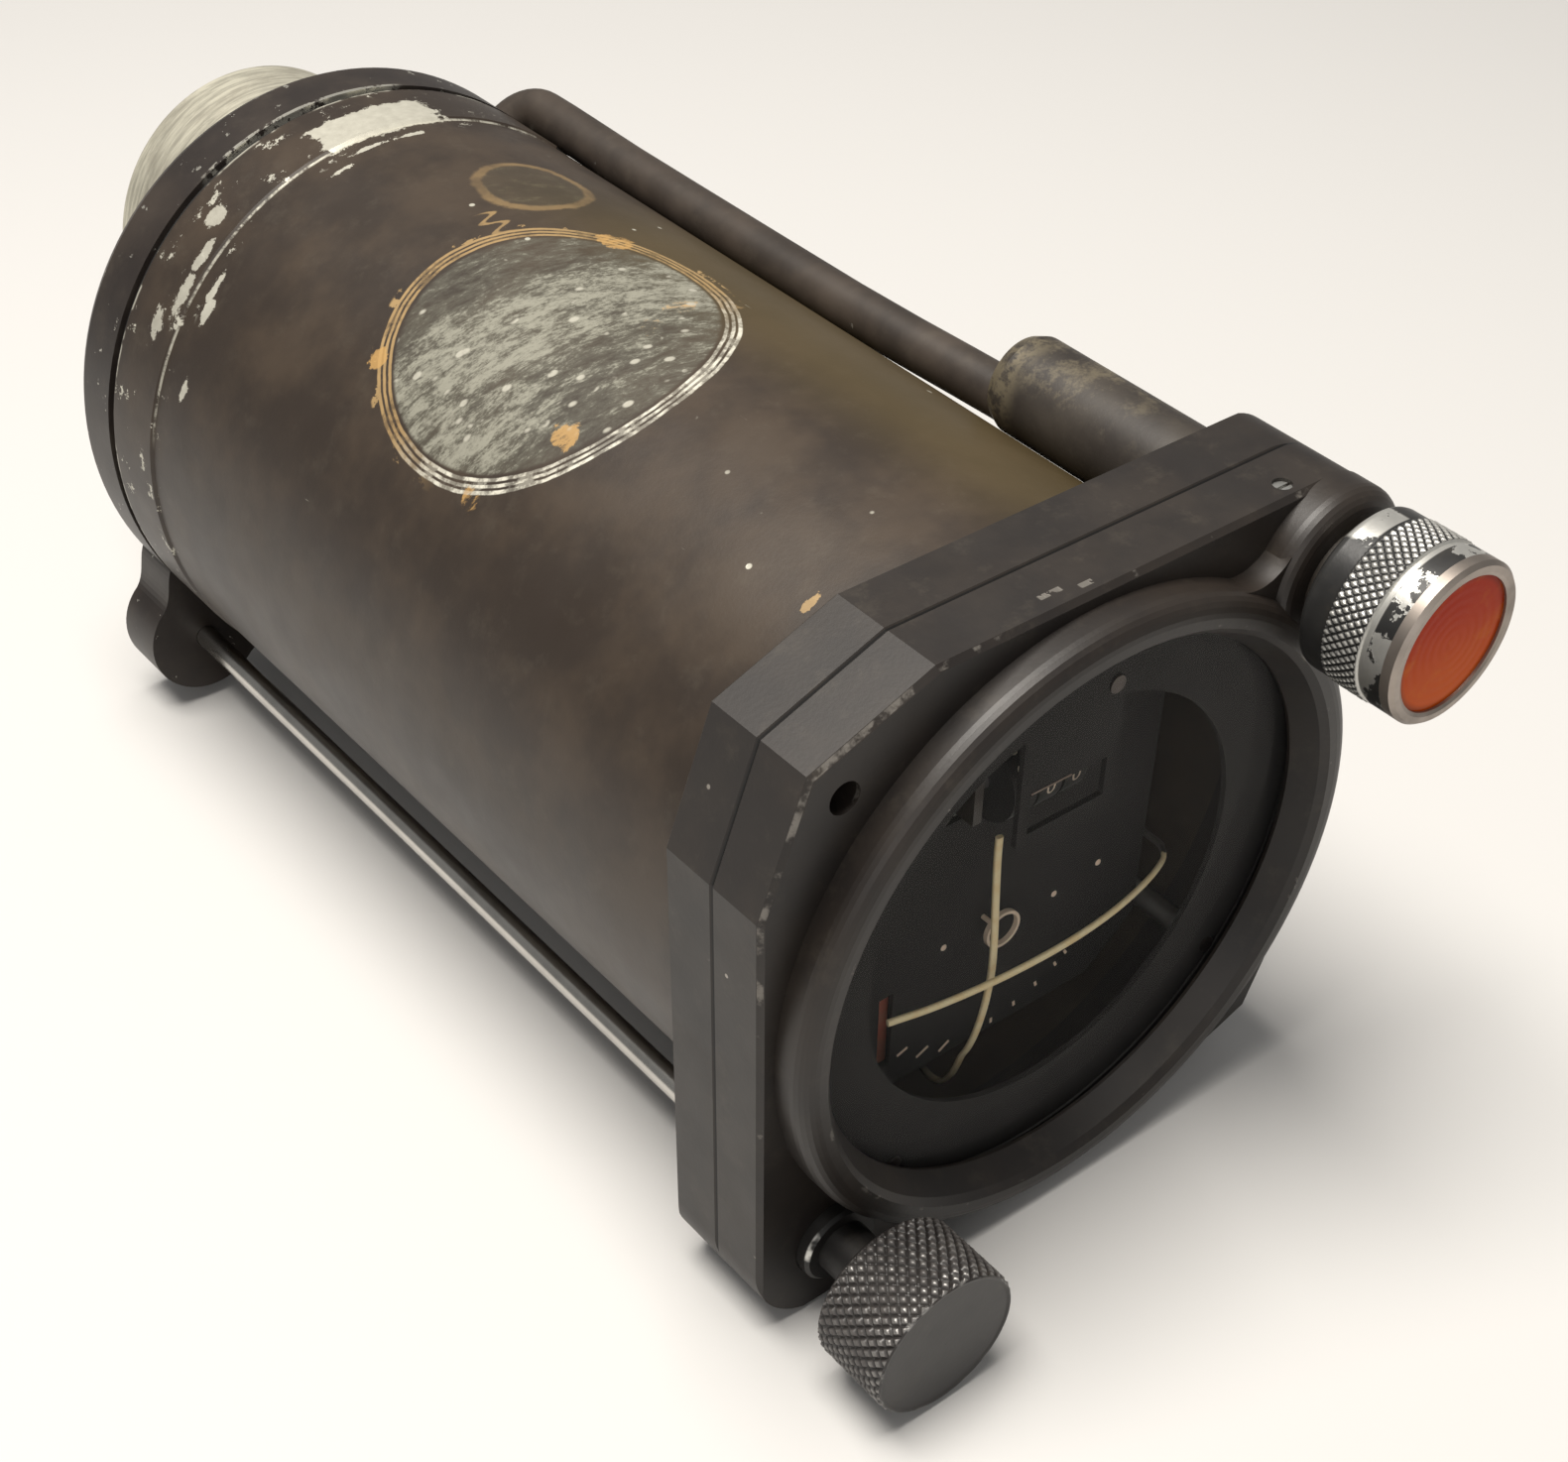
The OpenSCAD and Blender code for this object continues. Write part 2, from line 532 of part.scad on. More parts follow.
module rear_cover() color([0.08, 0.08, 0.08]) difference() {
    union() {
        slab(cover_y + lug_front, cover_end) lug2d();
        turned(0, 0, [[0, cover_y], [cover_r, cover_y], [cover_r, cover_end - 1.6], [cover_r - 0.5, cover_end - 0.5],
            [cover_r - 1.6, cover_end], [0, cover_end]], big);
    }
    bar(0, 0, cover_y - 1, cover_end - cover_wall, cover_in, big);
    bar(cl_x, cl_z, gear2_y - 0.5, cover_end - cover_wall, 9.6);
    bar(-knob_off, -knob_off, gear2_y - 1.3, cover_end - cover_wall, 5.6);
    bar(-knob_off, -knob_off, cover_y - 1, cover_end - 0.7, rod_r + run, small);
    bar(cl_x, cl_z, cover_y, cover_end - 0.7, 1.5 + run, small);
    bar(top_x, cross_z, cover_y, cover_end - 0.7, 1.5 + run, small);
    bar(0, shell_up, cover_y, cover_end + 1, insert_r - 1, big);
    for (a = [45, 135, 225, 315]) translate([0, 0, shell_up]) rotate([0, -a, 0])
        bar(insert_r + 1.8, 0, cover_y, cover_end + 1, 0.9, small);
    for (a = [20, 110, 200, 290]) rotate([0, -a, 0]) bar(cover_screw_r, 0, cover_y, cover_end + 1, 1.3, small);
}

// Plan of the gear lug, which runs into the cover's edge in an S-curve on both sides
module lug2d() {
    translate([-knob_off, -knob_off]) circle(r = lug_r, $fn = med);
    translate([cl_x, cl_z]) circle(r = 10.7, $fn = med);
    side = [for (i = [0 : 10]) [lug_r + 1.25 * (1 + cos(18 * i)) + 0.5 * (1 - i / 10),
        2.6 - cover_r + (cover_r - d_axis - 2) * i / 10]];
    rotate(-45) polygon(concat([for (p = side) [-p[0], p[1]]], [for (i = [10 : -1 : 0]) side[i]]));
}

module cover_seal() color([0.03, 0.03, 0.03]) turned(0, 0, [[case_in, case_end], [case_r - 0.4, case_end],
    [case_r - 0.4, cover_y], [case_in, cover_y]], big);

module cover_screws() color([0.4, 0.4, 0.4]) for (a = [20, 110, 200, 290]) rotate([0, -a, 0]) difference() {
    turned(cover_screw_r, 0, [[0, rear_plate_y], [1.25, rear_plate_y], [1.25, cover_end], [2.2, cover_end],
        [2.2, cover_end + 0.9], [1.7, cover_end + 1.3], [0, cover_end + 1.3]], small);
    translate([cover_screw_r - 2.6, cover_end + 0.8, -0.25]) cube([5.2, 1, 0.5]);
}

// Connector shell with a seat, a plain barrel and a keyway
module connector_shell() color([0.62, 0.62, 0.6]) difference() {
    turned(0, shell_up, [[insert_r + 0.1, cover_end], [shell_r, cover_end], [shell_r, cover_end + 2.4],
        [shell_r - 0.9, cover_end + 2.8], [shell_r - 0.9, cover_end + shell_len - 1],
        [shell_r - 1.7, cover_end + shell_len], [shell_r - 3.2, cover_end + shell_len],
        [shell_r - 3.2, cover_end + 3.4], [insert_r + 0.1, cover_end + 3.4]], big);
    for (a = [45, 135, 225, 315]) translate([0, 0, shell_up]) rotate([0, -a, 0])
        bar(insert_r + 1.8, 0, cover_end - 1, cover_end + 4, 0.9, small);
    translate([-1.2, cover_end + 3.4, shell_up - shell_r + 2.2]) cube([2.4, shell_len, 1.2]);
}

module connector_insert() color([0.12, 0.13, 0.12]) difference() {
    turned(0, shell_up, [[0, cover_end - 1.2], [insert_r - 1.1, cover_end - 1.2], [insert_r - 1.1, cover_end],
        [insert_r, cover_end], [insert_r, cover_end + 5.4], [0, cover_end + 5.4]], big);
    pins(cover_end - 2, cover_end + 6, pin_r);
}

// Contact pins on three circles and one in the middle
module pins(y0, y1, r) {
    for (c = [[0.27 * insert_r, 5], [0.55 * insert_r, 10], [0.82 * insert_r, 14]]) for (i = [0 : c[1] - 1]) translate([0, 0, shell_up])
        rotate([0, -90 - i * 360 / c[1], 0]) bar(c[0], 0, y0, y1, r, 13);
    bar(0, shell_up, y0, y1, r, 13);
}

module connector_pins() color([0.8, 0.68, 0.35]) pins(cover_end - 2.6, cover_end + shell_len - 4.8, pin_r);

module connector_screws() color([0.5, 0.5, 0.5]) for (a = [45, 135, 225, 315]) translate([0, 0, shell_up])
    rotate([0, -a, 0]) turned(insert_r + 1.8, 0, [[0, cover_end - cover_wall], [0.9, cover_end - cover_wall],
        [0.9, cover_end + 3.4], [1.3, cover_end + 3.4], [1.3, cover_end + 4.2], [0, cover_end + 4.2]], small);

// Two gears on one shaft between the set pinion and the main gear
module cluster_gear() color([0.76, 0.6, 0.28]) {
    translate([cl_x, 0, cl_z]) {
        slab(gear2_y, gear2_y + gear_t) gear2d(n_big, gm, a_set + 180 + 180 / n_big);
        slab(gear_y, gear_y + gear_t) gear2d(n_mid, gm, a_mid);
    }
    bar(cl_x, cl_z, gear_y + gear_t, gear2_y, 3.4, small);
    bar(cl_x, cl_z, rear_plate_y - 0.6, cover_end - 0.8, 1.5, small);
}

module main_gear() color([0.78, 0.62, 0.3]) difference() {
    union() {
        slab(gear_y, gear_y + gear_t) difference() {
            gear2d(n_main, gm, a_mid + 180 + 180 / n_main);
            for (a = [0 : 60 : 300]) rotate(a + 15) translate([d_mid * 0.49, 0]) circle(r = d_mid * 0.16, $fn = small);
        }
        bar(0, 0, gear_y + gear_t, gear_y + gear_t + 1.2, 5, small);
    }
    bar(0, 0, gear_y - 1, gear_y + gear_t + 3, 2, small);
}

module resolver_body() color([0.6, 0.6, 0.58]) difference() {
    turned(0, 0, [[2 + run, res_y], [res_r - 1, res_y], [res_r, res_y + 1], [res_r, rear_plate_y - 5],
        [res_r - 0.8, rear_plate_y - 5], [res_r - 0.8, rear_plate_y], [res_r - 7, rear_plate_y],
        [res_r - 7, rear_plate_y - 4.6], [2 + run, rear_plate_y - 4.6]], med);
    turned(0, 0, [[0, res_y + 3], [res_r - 2.4, res_y + 3], [res_r - 2.4, rear_plate_y - 7],
        [0, rear_plate_y - 7]], med);
}

module resolver_stator() color([0.45, 0.25, 0.12]) turned(0, 0, [[res_r - 5.8, res_y + 5],
    [res_r - 2.4, res_y + 5], [res_r - 2.4, rear_plate_y - 9], [res_r - 5.8, rear_plate_y - 9]], med);

module resolver_rotor() color([0.5, 0.5, 0.5]) turned(0, 0, [[0, res_y - 3], [2, res_y - 3], [2, res_y + 7],
    [res_r - 6.4, res_y + 7], [res_r - 6.4, rear_plate_y - 11], [2, rear_plate_y - 11],
    [2, gear_y + gear_t + 1.5], [0, gear_y + gear_t + 1.5]], med);

// Long shaft from the main gear to the counter; its teeth take up the main gear's tooth phase
module counter_shaft() color([0.72, 0.72, 0.72]) {
    a_top = atan2(cross_z, top_x);
    p_main = a_mid + 180 + 180 / n_main;
    translate([top_x, 0, cross_z]) slab(gear_y, gear_y + gear_t)
        gear2d(n_top, gm, a_top + 180 + 180 / n_top + (a_top - p_main) * n_main / n_top);
    bar(top_x, cross_z, cross_y + bevs_r * 0.6, cover_end - 0.8, 1.5, small);
}

// Large bevel gear, its teeth taper to the crossing point of the two shafts
module bevel_wheel() color([0.76, 0.6, 0.28]) difference() {
    translate([top_x, cross_y + bevs_r, cross_z]) {
        rotate([90, 0, 0]) linear_extrude(bevs_r * 0.4, scale = 0.6)
            bevel2d(n_bev, bev_r, 0.6, 0.85, 180);
        rotate([-90, 0, 0]) cylinder(h = 2.6, r = 3, $fn = small);
    }
    bar(top_x, cross_z, cross_y, cross_y + bevs_r + 4, 1.5, small);
}

// Cross shaft with its small bevel gear and a collar
module cross_shaft() color([0.74, 0.74, 0.74]) {
    xbar(cross_y, cross_z, -9.3, top_x - bev_r + 0.2, 1.2);
    translate([top_x - bev_r, cross_y, cross_z]) rotate([0, 90, 0]) linear_extrude(bev_r * 0.4, scale = 0.6)
        bevel2d(n_bevs, bevs_r, 0.3, 0.42, 90 + 180 / n_bevs);
    xbar(cross_y, cross_z, 9.9, 11, 2);
}

module step_gear() color([0.78, 0.62, 0.3]) difference() {
    translate([5.7, cross_y, cross_z]) rotate([0, 90, 0]) linear_extrude(1.5)
        gear2d(n_step, fm, atan2(drum_y - cross_y, cross_z - drum_z));
    xbar(cross_y, cross_z, 5, 8, 1.2);
}

module drum(x0, x1) difference() {
    xbar(drum_y, drum_z, x0, x1, drum_r, med);
    xbar(drum_y, drum_z, x0 - 1, x1 + 1, 1 + run);
}

module units_drum() color([0.12, 0.12, 0.12]) {
    drum(2, 5.2);
    difference() {
        translate([5.2, drum_y, drum_z]) rotate([0, 90, 0]) linear_extrude(2.3)
            gear2d(n_drum, fm, atan2(cross_y - drum_y, drum_z - cross_z) + 180 / n_drum);
        xbar(drum_y, drum_z, 5, 8, 1 + run);
    }
}

module tens_drum() color([0.12, 0.12, 0.12]) drum(-1.6, 1.6);

module hundreds_drum() color([0.12, 0.12, 0.12]) drum(-5.2, -2);

module drum_arbor() color([0.7, 0.7, 0.7]) xbar(drum_y, drum_z, -9, 9.6, 1);

// Side plates and back bar of the counter
module counter_frame() color([0.66, 0.66, 0.64]) difference() {
    union() {
        for (x = [-9, 8.4]) translate([x, drum_y - 3, drum_z - 2.6]) cube([1.2, plate_y - drum_y + 3, 9]);
        translate([-9, plate_y - 1.2, cross_z - 1]) cube([18.6, 1.2, 3.8]);
    }
    xbar(drum_y, drum_z, -10, 10, 1);
    xbar(cross_y, cross_z, -10, 10, 1.2 + run);
}

// Yoke, core and bearing bridges of one pointer movement, staff along Z
module magnet(lo, hi, far) {
    h = hi - lo;
    difference() {
        translate([0, 0, lo]) cylinder(h = h, r = yoke_r, $fn = med);
        translate([0, 0, lo - 1]) cylinder(h = h + 2, r = yoke_in, $fn = med);
    }
    translate([0, 0, lo + 0.6]) cylinder(h = h - 1.2, r = core_r, $fn = med);
    translate([-1.4, core_r - 0.4, lo + 0.6]) cube([2.8, yoke_in - core_r + 1, h - 1.2]);
    for (s = [1, -1]) {
        translate([s * 4 * k, 7.4 * k, lo - far]) cylinder(h = far + 0.5, r = 0.9, $fn = small);
        translate([s * 4 * k, 7.4 * k, hi - 0.5]) cylinder(h = 2.9, r = 0.9, $fn = small);
    }
    difference() {
        union() {
            translate([-5.2, -1.2, lo - far - 1]) cube([10.4, 9.8, 1]);
            translate([-5.2, -1.2, hi + 2.2]) cube([10.4, 9.8, 1]);
        }
        translate([0, 0, lo - far - 2]) cylinder(h = h + far + 6, r = 0.55 + run, $fn = small);
    }
}

// Moving coil on its former, staff along Z
module coil(lo, hi) {
    for (s = [1, -1]) translate([s * coil_x - 0.6, -1.6, lo - 0.9]) cube([1.2, 3.2, hi - lo + 1.8]);
    for (z = [lo - 0.9, hi - 0.3]) translate([-coil_x - 0.6, -1.6, z]) cube([2 * coil_x + 1.2, 3.2, 1.2]);
}

module v_magnet() color([0.5, 0.5, 0.52]) {
    translate([0, staff_y, 0]) magnet(v_lo, v_hi, 3);
    for (x = [-7, 7]) bar(x, v_hi - 5, plate_y + plate_t, staff_y - 5, 1.1, small);
}

module v_coil() color([0.6, 0.3, 0.12]) translate([0, staff_y, 0]) rotate([0, 0, v_rest]) coil(v_lo, v_hi);

// Vertical pointer: bowed arm, staff ends and counterweight
module v_pointer() color([0.9, 0.82, 0.55]) translate([0, staff_y, 0]) rotate([0, 0, v_rest]) {
    translate([pointer_w / 2, 0, 0]) rotate([0, -90, 0]) linear_extrude(pointer_w)
        ribbon([for (p = v_path) [p[0] * k, p[1]]], 0.8);
    translate([0, 0, v_lo - 3.8]) cylinder(h = 2.9, r = 0.55, $fn = small);
    translate([0, 0, v_hi + 0.9]) cylinder(h = 2.2, r = 0.55, $fn = small);
    translate([0, 3.4, arm_z - 0.4]) cylinder(h = 0.8, r = 1.3, $fn = small);
}

module h_magnet() color([0.5, 0.5, 0.52]) {
    translate([0, staff_y, h_z]) rotate([0, 90, 0]) magnet(-7.6, 7.6, 2.2);
    translate([0, staff_y, h_z]) for (z = [-4, 4]) {
        translate([7.4, 7.4, z]) rotate([0, 90, 0]) cylinder(h = arm_x - 6, r = 0.9, $fn = small);
    }
    difference() {
        translate([arm_x + 1.4, staff_y - 1.2, h_z - 5.2]) cube([1, 9.8, 10.4]);
        xbar(staff_y, h_z, arm_x, arm_x + 4, 0.55 + run);
    }
    for (z = [h_z - 4.5, h_z + 4.5]) bar(0, z, plate_y + plate_t, staff_y - 8.2, 1.1, small);
}

module h_coil() color([0.6, 0.3, 0.12]) translate([0, staff_y, h_z]) rotate([0, 90, 0]) coil(-7.6, 7.6);

// Horizontal pointer: bowed arm, staff ends and counterweight
module h_pointer() color([0.9, 0.82, 0.55]) {
    translate([0, staff_y, h_z - pointer_w / 2]) linear_extrude(pointer_w)
        ribbon([for (p = h_path) [p[0] * k, p[1]]], 0.8);
    xbar(staff_y, h_z, -10.7, -8.5, 0.55);
    xbar(staff_y, h_z, 8.5, arm_x + 2.3, 0.55);
    xbar(staff_y + 3.4, h_z, arm_x - 0.8, arm_x + 0.8, 1.3);
}

module flag_motor() color([0.4, 0.4, 0.42]) difference() {
    bar(flag_x, 0, dial_y + 4, plate_y, 4.4, med);
    bar(flag_x, 0, dial_y, dial_y + 9, 0.6 + run, small);
}

// Warning flag behind its slot in the dial
module flag_vane() color([0.75, 0.3, 0.2]) {
    slab(dial_y + 1.2, dial_y + 1.6) {
        translate([flag_x, 0]) circle(r = 1.6, $fn = small);
        translate([flag_x, 0]) polygon([[-1.1, 0], [5.1, -23.5 * k], [9.6, -23.3 * k], [9.6, -11], [4.5, -10.4],
            [1.3, 0.4]]);
    }
    bar(flag_x, 0, dial_y + 1.5, dial_y + 8, 0.6, small);
}

// Chassis plate in front of the movements
module front_plate() color([0.64, 0.64, 0.62]) difference() {
    slab(plate_y, plate_y + plate_t) difference() {
        circle(r = case_in - 0.3, $fn = big);
        translate([-13, -case_r]) square([26, case_r + arm_z + 3.9]);
        translate([arm_x - 4.3, h_z - 9]) square([7.5, 18]);
    }
    bar(top_x, cross_z, plate_y - 1, plate_y + 3, 1.5 + run, small);
    for (a = [80, 165, 235, 310]) rotate([0, -a, 0]) bar(tie_r, 0, plate_y - 1, plate_y + 3, 1, small);
}

// Chassis plate behind the resolver; the gears turn behind it
module rear_plate() color([0.64, 0.64, 0.62]) difference() {
    slab(rear_plate_y, rear_plate_y + 2) circle(r = case_in - 0.05, $fn = big);
    bar(0, 0, rear_plate_y - 1, rear_plate_y + 3, 2 + run, small);
    bar(cl_x, cl_z, rear_plate_y - 1, rear_plate_y + 3, 1.5 + run, small);
    bar(top_x, cross_z, rear_plate_y - 1, rear_plate_y + 3, 1.5 + run, small);
    for (a = [80, 165, 235, 310]) rotate([0, -a, 0])
        bar(tie_r, 0, rear_plate_y - 1, rear_plate_y + 3, 1, small);
    for (a = [20, 110, 200, 290]) rotate([0, -a, 0])
        bar(cover_screw_r, 0, rear_plate_y - 1, rear_plate_y + 3, 1.25, small);
}

module tie_rods() color([0.68, 0.68, 0.68]) for (a = [80, 165, 235, 310]) rotate([0, -a, 0])
    turned(tie_r, 0, [[0, plate_y], [1, plate_y], [1, plate_y + plate_t], [1.7, plate_y + plate_t],
        [1.7, rear_plate_y], [1, rear_plate_y], [1, rear_plate_y + 2], [0, rear_plate_y + 2]], small);

bezel();
bezel_screws();
case_flange();
mount_inserts();
case_can();
glass();
glass_gasket();
dial_mask();
mask_screws();
dial_plate();
centre_ring();
dial_posts();
lamp_set_screw();
lamp_housing();
lamp_socket();
lamp_bulb();
lamp_contact();
lamp_cap();
lamp_lens();
lens_rim();
conduit();
conduit_ferrule();
set_knob();
knob_screw();
front_bushing();
set_shaft();
set_pinion();
rear_cover();
cover_seal();
cover_screws();
connector_shell();
connector_insert();
connector_pins();
connector_screws();
cluster_gear();
main_gear();
resolver_body();
resolver_stator();
resolver_rotor();
counter_shaft();
bevel_wheel();
cross_shaft();
step_gear();
units_drum();
tens_drum();
hundreds_drum();
drum_arbor();
counter_frame();
v_magnet();
v_coil();
v_pointer();
h_magnet();
h_coil();
h_pointer();
flag_motor();
flag_vane();
front_plate();
rear_plate();
tie_rods();
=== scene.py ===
"""Looks of the course indicator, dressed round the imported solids, in metres."""
import math
import bmesh
import bpy
import numpy as np
from mathutils import Matrix


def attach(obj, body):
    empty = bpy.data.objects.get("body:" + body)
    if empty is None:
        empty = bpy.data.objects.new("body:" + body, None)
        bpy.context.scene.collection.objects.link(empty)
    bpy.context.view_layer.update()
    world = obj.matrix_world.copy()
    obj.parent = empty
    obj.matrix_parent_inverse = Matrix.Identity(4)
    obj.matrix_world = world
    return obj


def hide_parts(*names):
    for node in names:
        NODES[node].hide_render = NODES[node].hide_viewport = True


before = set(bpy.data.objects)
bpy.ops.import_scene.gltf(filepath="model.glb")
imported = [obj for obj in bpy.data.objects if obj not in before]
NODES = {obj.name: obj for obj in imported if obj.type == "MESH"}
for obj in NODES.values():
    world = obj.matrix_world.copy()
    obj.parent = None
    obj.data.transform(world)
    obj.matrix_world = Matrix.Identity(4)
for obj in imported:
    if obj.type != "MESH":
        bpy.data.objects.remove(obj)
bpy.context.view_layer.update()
MM = 0.001

# Places and sizes taken over from the solids, in millimetres
KNOB = (-31.0986, -31.0986)
LAMP = (31.7986, 31.7986)
FLANGE = 41.3
CASE_R = 38.9
DIAL_Y = 10.6
STAFF_Y = 40.0
DRUM_Y = 9.0
DRUM_Z = 15.2
DRUM_R = 5.0
DRUM_W = 3.2

# Angle at which the vertical needle hangs at rest
REST = math.radians(-7.78)

# Width of the photograph, fitted focal length and shift of the camera, in pixels
PHOTO_WIDTH = 1581.0
FOCAL = 2394.367
SHIFT = (-47.806, 302.224)

# Where the cream on the horizontal needle ends, in metres from the middle
PAINTED_END = 0.0236


class Finish:
    """A node material being built up: most methods add nodes and hand back the last one's output."""

    def __init__(self, name):
        self.mat = bpy.data.materials.new(name)
        self.mat.use_nodes = True
        self.tree = self.mat.node_tree
        self.tree.nodes.clear()
        self.shader = self.tree.nodes.new("ShaderNodeBsdfPrincipled")
        self.out = self.tree.nodes.new("ShaderNodeOutputMaterial")
        self.tree.links.new(self.shader.outputs[0], self.out.inputs[0])
        self.place = self.tree.nodes.new("ShaderNodeTexCoord").outputs["Object"]

    def put(self, socket, value):
        """Links an output to a socket, or writes a plain value on it."""
        if isinstance(value, bpy.types.NodeSocket):
            self.tree.links.new(value, socket)
        elif isinstance(value, (tuple, list)) and len(value) == 3 and socket.type == "RGBA":
            socket.default_value = (*value, 1.0)
        else:
            socket.default_value = value

    def set(self, **values):
        for key, value in values.items():
            self.put(self.shader.inputs[key.replace("_", " ")], value)

    def current(self, name):
        """Output that feeds one of the shader's inputs so far."""
        return self.shader.inputs[name].links[0].from_socket

    def math(self, kind, a, b=0.0):
        node = self.tree.nodes.new("ShaderNodeMath")
        node.operation = kind
        self.put(node.inputs[0], a)
        self.put(node.inputs[1], b)
        return node.outputs[0]

    def plus(self, a, b):
        return self.math("ADD", a, b)

    def minus(self, a, b):
        return self.math("SUBTRACT", a, b)

    def times(self, a, b):
        return self.math("MULTIPLY", a, b)

    def reach(self, u, v):
        """Distance of a point from the middle of a plane: the root of the sum of both squares."""
        return self.math("SQRT", self.plus(self.times(u, u), self.times(v, v)))

    def axes(self):
        node = self.tree.nodes.new("ShaderNodeSeparateXYZ")
        self.put(node.inputs[0], self.place)
        return node.outputs[0], node.outputs[1], node.outputs[2]

    def join(self, x, y, z):
        node = self.tree.nodes.new("ShaderNodeCombineXYZ")
        for socket, value in zip(node.inputs, (x, y, z)):
            self.put(socket, value)
        return node.outputs[0]

    def spread(self, stretch):
        node = self.tree.nodes.new("ShaderNodeMapping")
        self.put(node.inputs["Vector"], self.place)
        node.inputs["Scale"].default_value = stretch
        return node.outputs[0]

    def noise(self, scale, detail, rough=0.55, vector=None, warp=0.0):
        node = self.tree.nodes.new("ShaderNodeTexNoise")
        self.put(node.inputs["Vector"], vector or self.place)
        node.inputs["Scale"].default_value = scale
        node.inputs["Detail"].default_value = detail
        node.inputs["Roughness"].default_value = rough
        node.inputs["Distortion"].default_value = warp
        return node.outputs[0]

    def cells(self, scale, vector=None):
        node = self.tree.nodes.new("ShaderNodeTexVoronoi")
        self.put(node.inputs["Vector"], vector or self.place)
        node.inputs["Scale"].default_value = scale
        return node.outputs["Distance"]

    def between(self, value, low, high, to_low=0.0, to_high=1.0):
        """Runs smoothly from to_low to to_high while value goes from low to high."""
        node = self.tree.nodes.new("ShaderNodeMapRange")
        node.interpolation_type = "SMOOTHSTEP"
        self.put(node.inputs["Value"], value)
        for key, number in zip(("From Min", "From Max", "To Min", "To Max"), (low, high, to_low, to_high)):
            node.inputs[key].default_value = number
        return node.outputs[0]

    def band(self, value, middle, half, soft):
        """One near the middle value, falling to nothing past half, over a soft edge."""
        off = self.math("ABSOLUTE", self.minus(value, middle))
        return self.between(off, half, half + soft, 1.0, 0.0)

    def both(self, *masks):
        result = masks[0]
        for mask in masks[1:]:
            result = self.times(result, mask)
        return result

    def either(self, *masks):
        result = masks[0]
        for mask in masks[1:]:
            result = self.math("MAXIMUM", result, mask)
        return result

    def mix(self, share, a, b):
        node = self.tree.nodes.new("ShaderNodeMix")
        node.data_type = "RGBA"
        self.put(node.inputs[0], share)
        self.put(node.inputs[6], a)
        self.put(node.inputs[7], b)
        return node.outputs[2]

    def blend(self, share, a, b):
        node = self.tree.nodes.new("ShaderNodeMix")
        self.put(node.inputs[0], share)
        self.put(node.inputs[2], a)
        self.put(node.inputs[3], b)
        return node.outputs[0]

    def attribute(self, name):
        node = self.tree.nodes.new("ShaderNodeAttribute")
        node.attribute_name = name
        return node.outputs["Fac"]

    def bump(self, height, strength, depth):
        node = self.tree.nodes.new("ShaderNodeBump")
        node.inputs["Strength"].default_value = strength
        node.inputs["Distance"].default_value = depth
        self.put(node.inputs["Height"], height)
        self.put(self.shader.inputs["Normal"], node.outputs[0])

    def round_place(self, cx=0.0, cz=0.0):
        """Arc from the top round an axis along Y, measured at the case's radius, then radius and depth."""
        x, y, z = self.axes()
        x = self.minus(x, cx * MM)
        z = self.minus(z, cz * MM)
        radius = self.reach(x, z)
        turn = self.math("ARCTAN2", x, z)
        return self.times(turn, CASE_R * MM), radius, y


def paint_film(f, dark, light, rough, bare, bare_tone=(0.55, 0.54, 0.51)):
    """Paint over metal: two tones clouded together, bare where the mask says; returns the paint's tone."""
    cloud = f.noise(70, 4, 0.6)
    fine = f.noise(1900, 3, 0.6)
    tone = f.mix(f.between(cloud, 0.35, 0.68), dark, light)
    grime = f.between(f.noise(240, 5, 0.7), 0.52, 0.75)
    tone = f.mix(f.times(grime, 0.18), tone, (0.09, 0.075, 0.055))
    metal = f.mix(f.noise(900, 3), bare_tone, tuple(v * 0.72 for v in bare_tone))
    f.set(Base_Color=f.mix(bare, tone, metal), Metallic=f.times(bare, 0.85))
    base = f.blend(f.noise(160, 4), rough[0], rough[1])
    f.set(Roughness=f.blend(bare, base, 0.36))
    height = f.minus(f.times(fine, 0.5), bare)
    f.bump(height, 0.3, 0.00008)
    return tone


def edge_wear(f, mask, low, high, scale):
    """Keeps a wear mask only where a noise is high, so that it breaks up."""
    patchy = f.between(f.noise(scale, 5, 0.65), low, high)
    return f.both(mask, patchy)


def specks(f, scale, size, share):
    """Tiny nicks: cell centres smaller than size, kept where a coarse noise is above share."""
    dot = f.between(f.cells(scale), size, size * 1.6, 1.0, 0.0)
    return f.both(dot, f.between(f.noise(scale * 0.35, 2), share, share + 0.05))


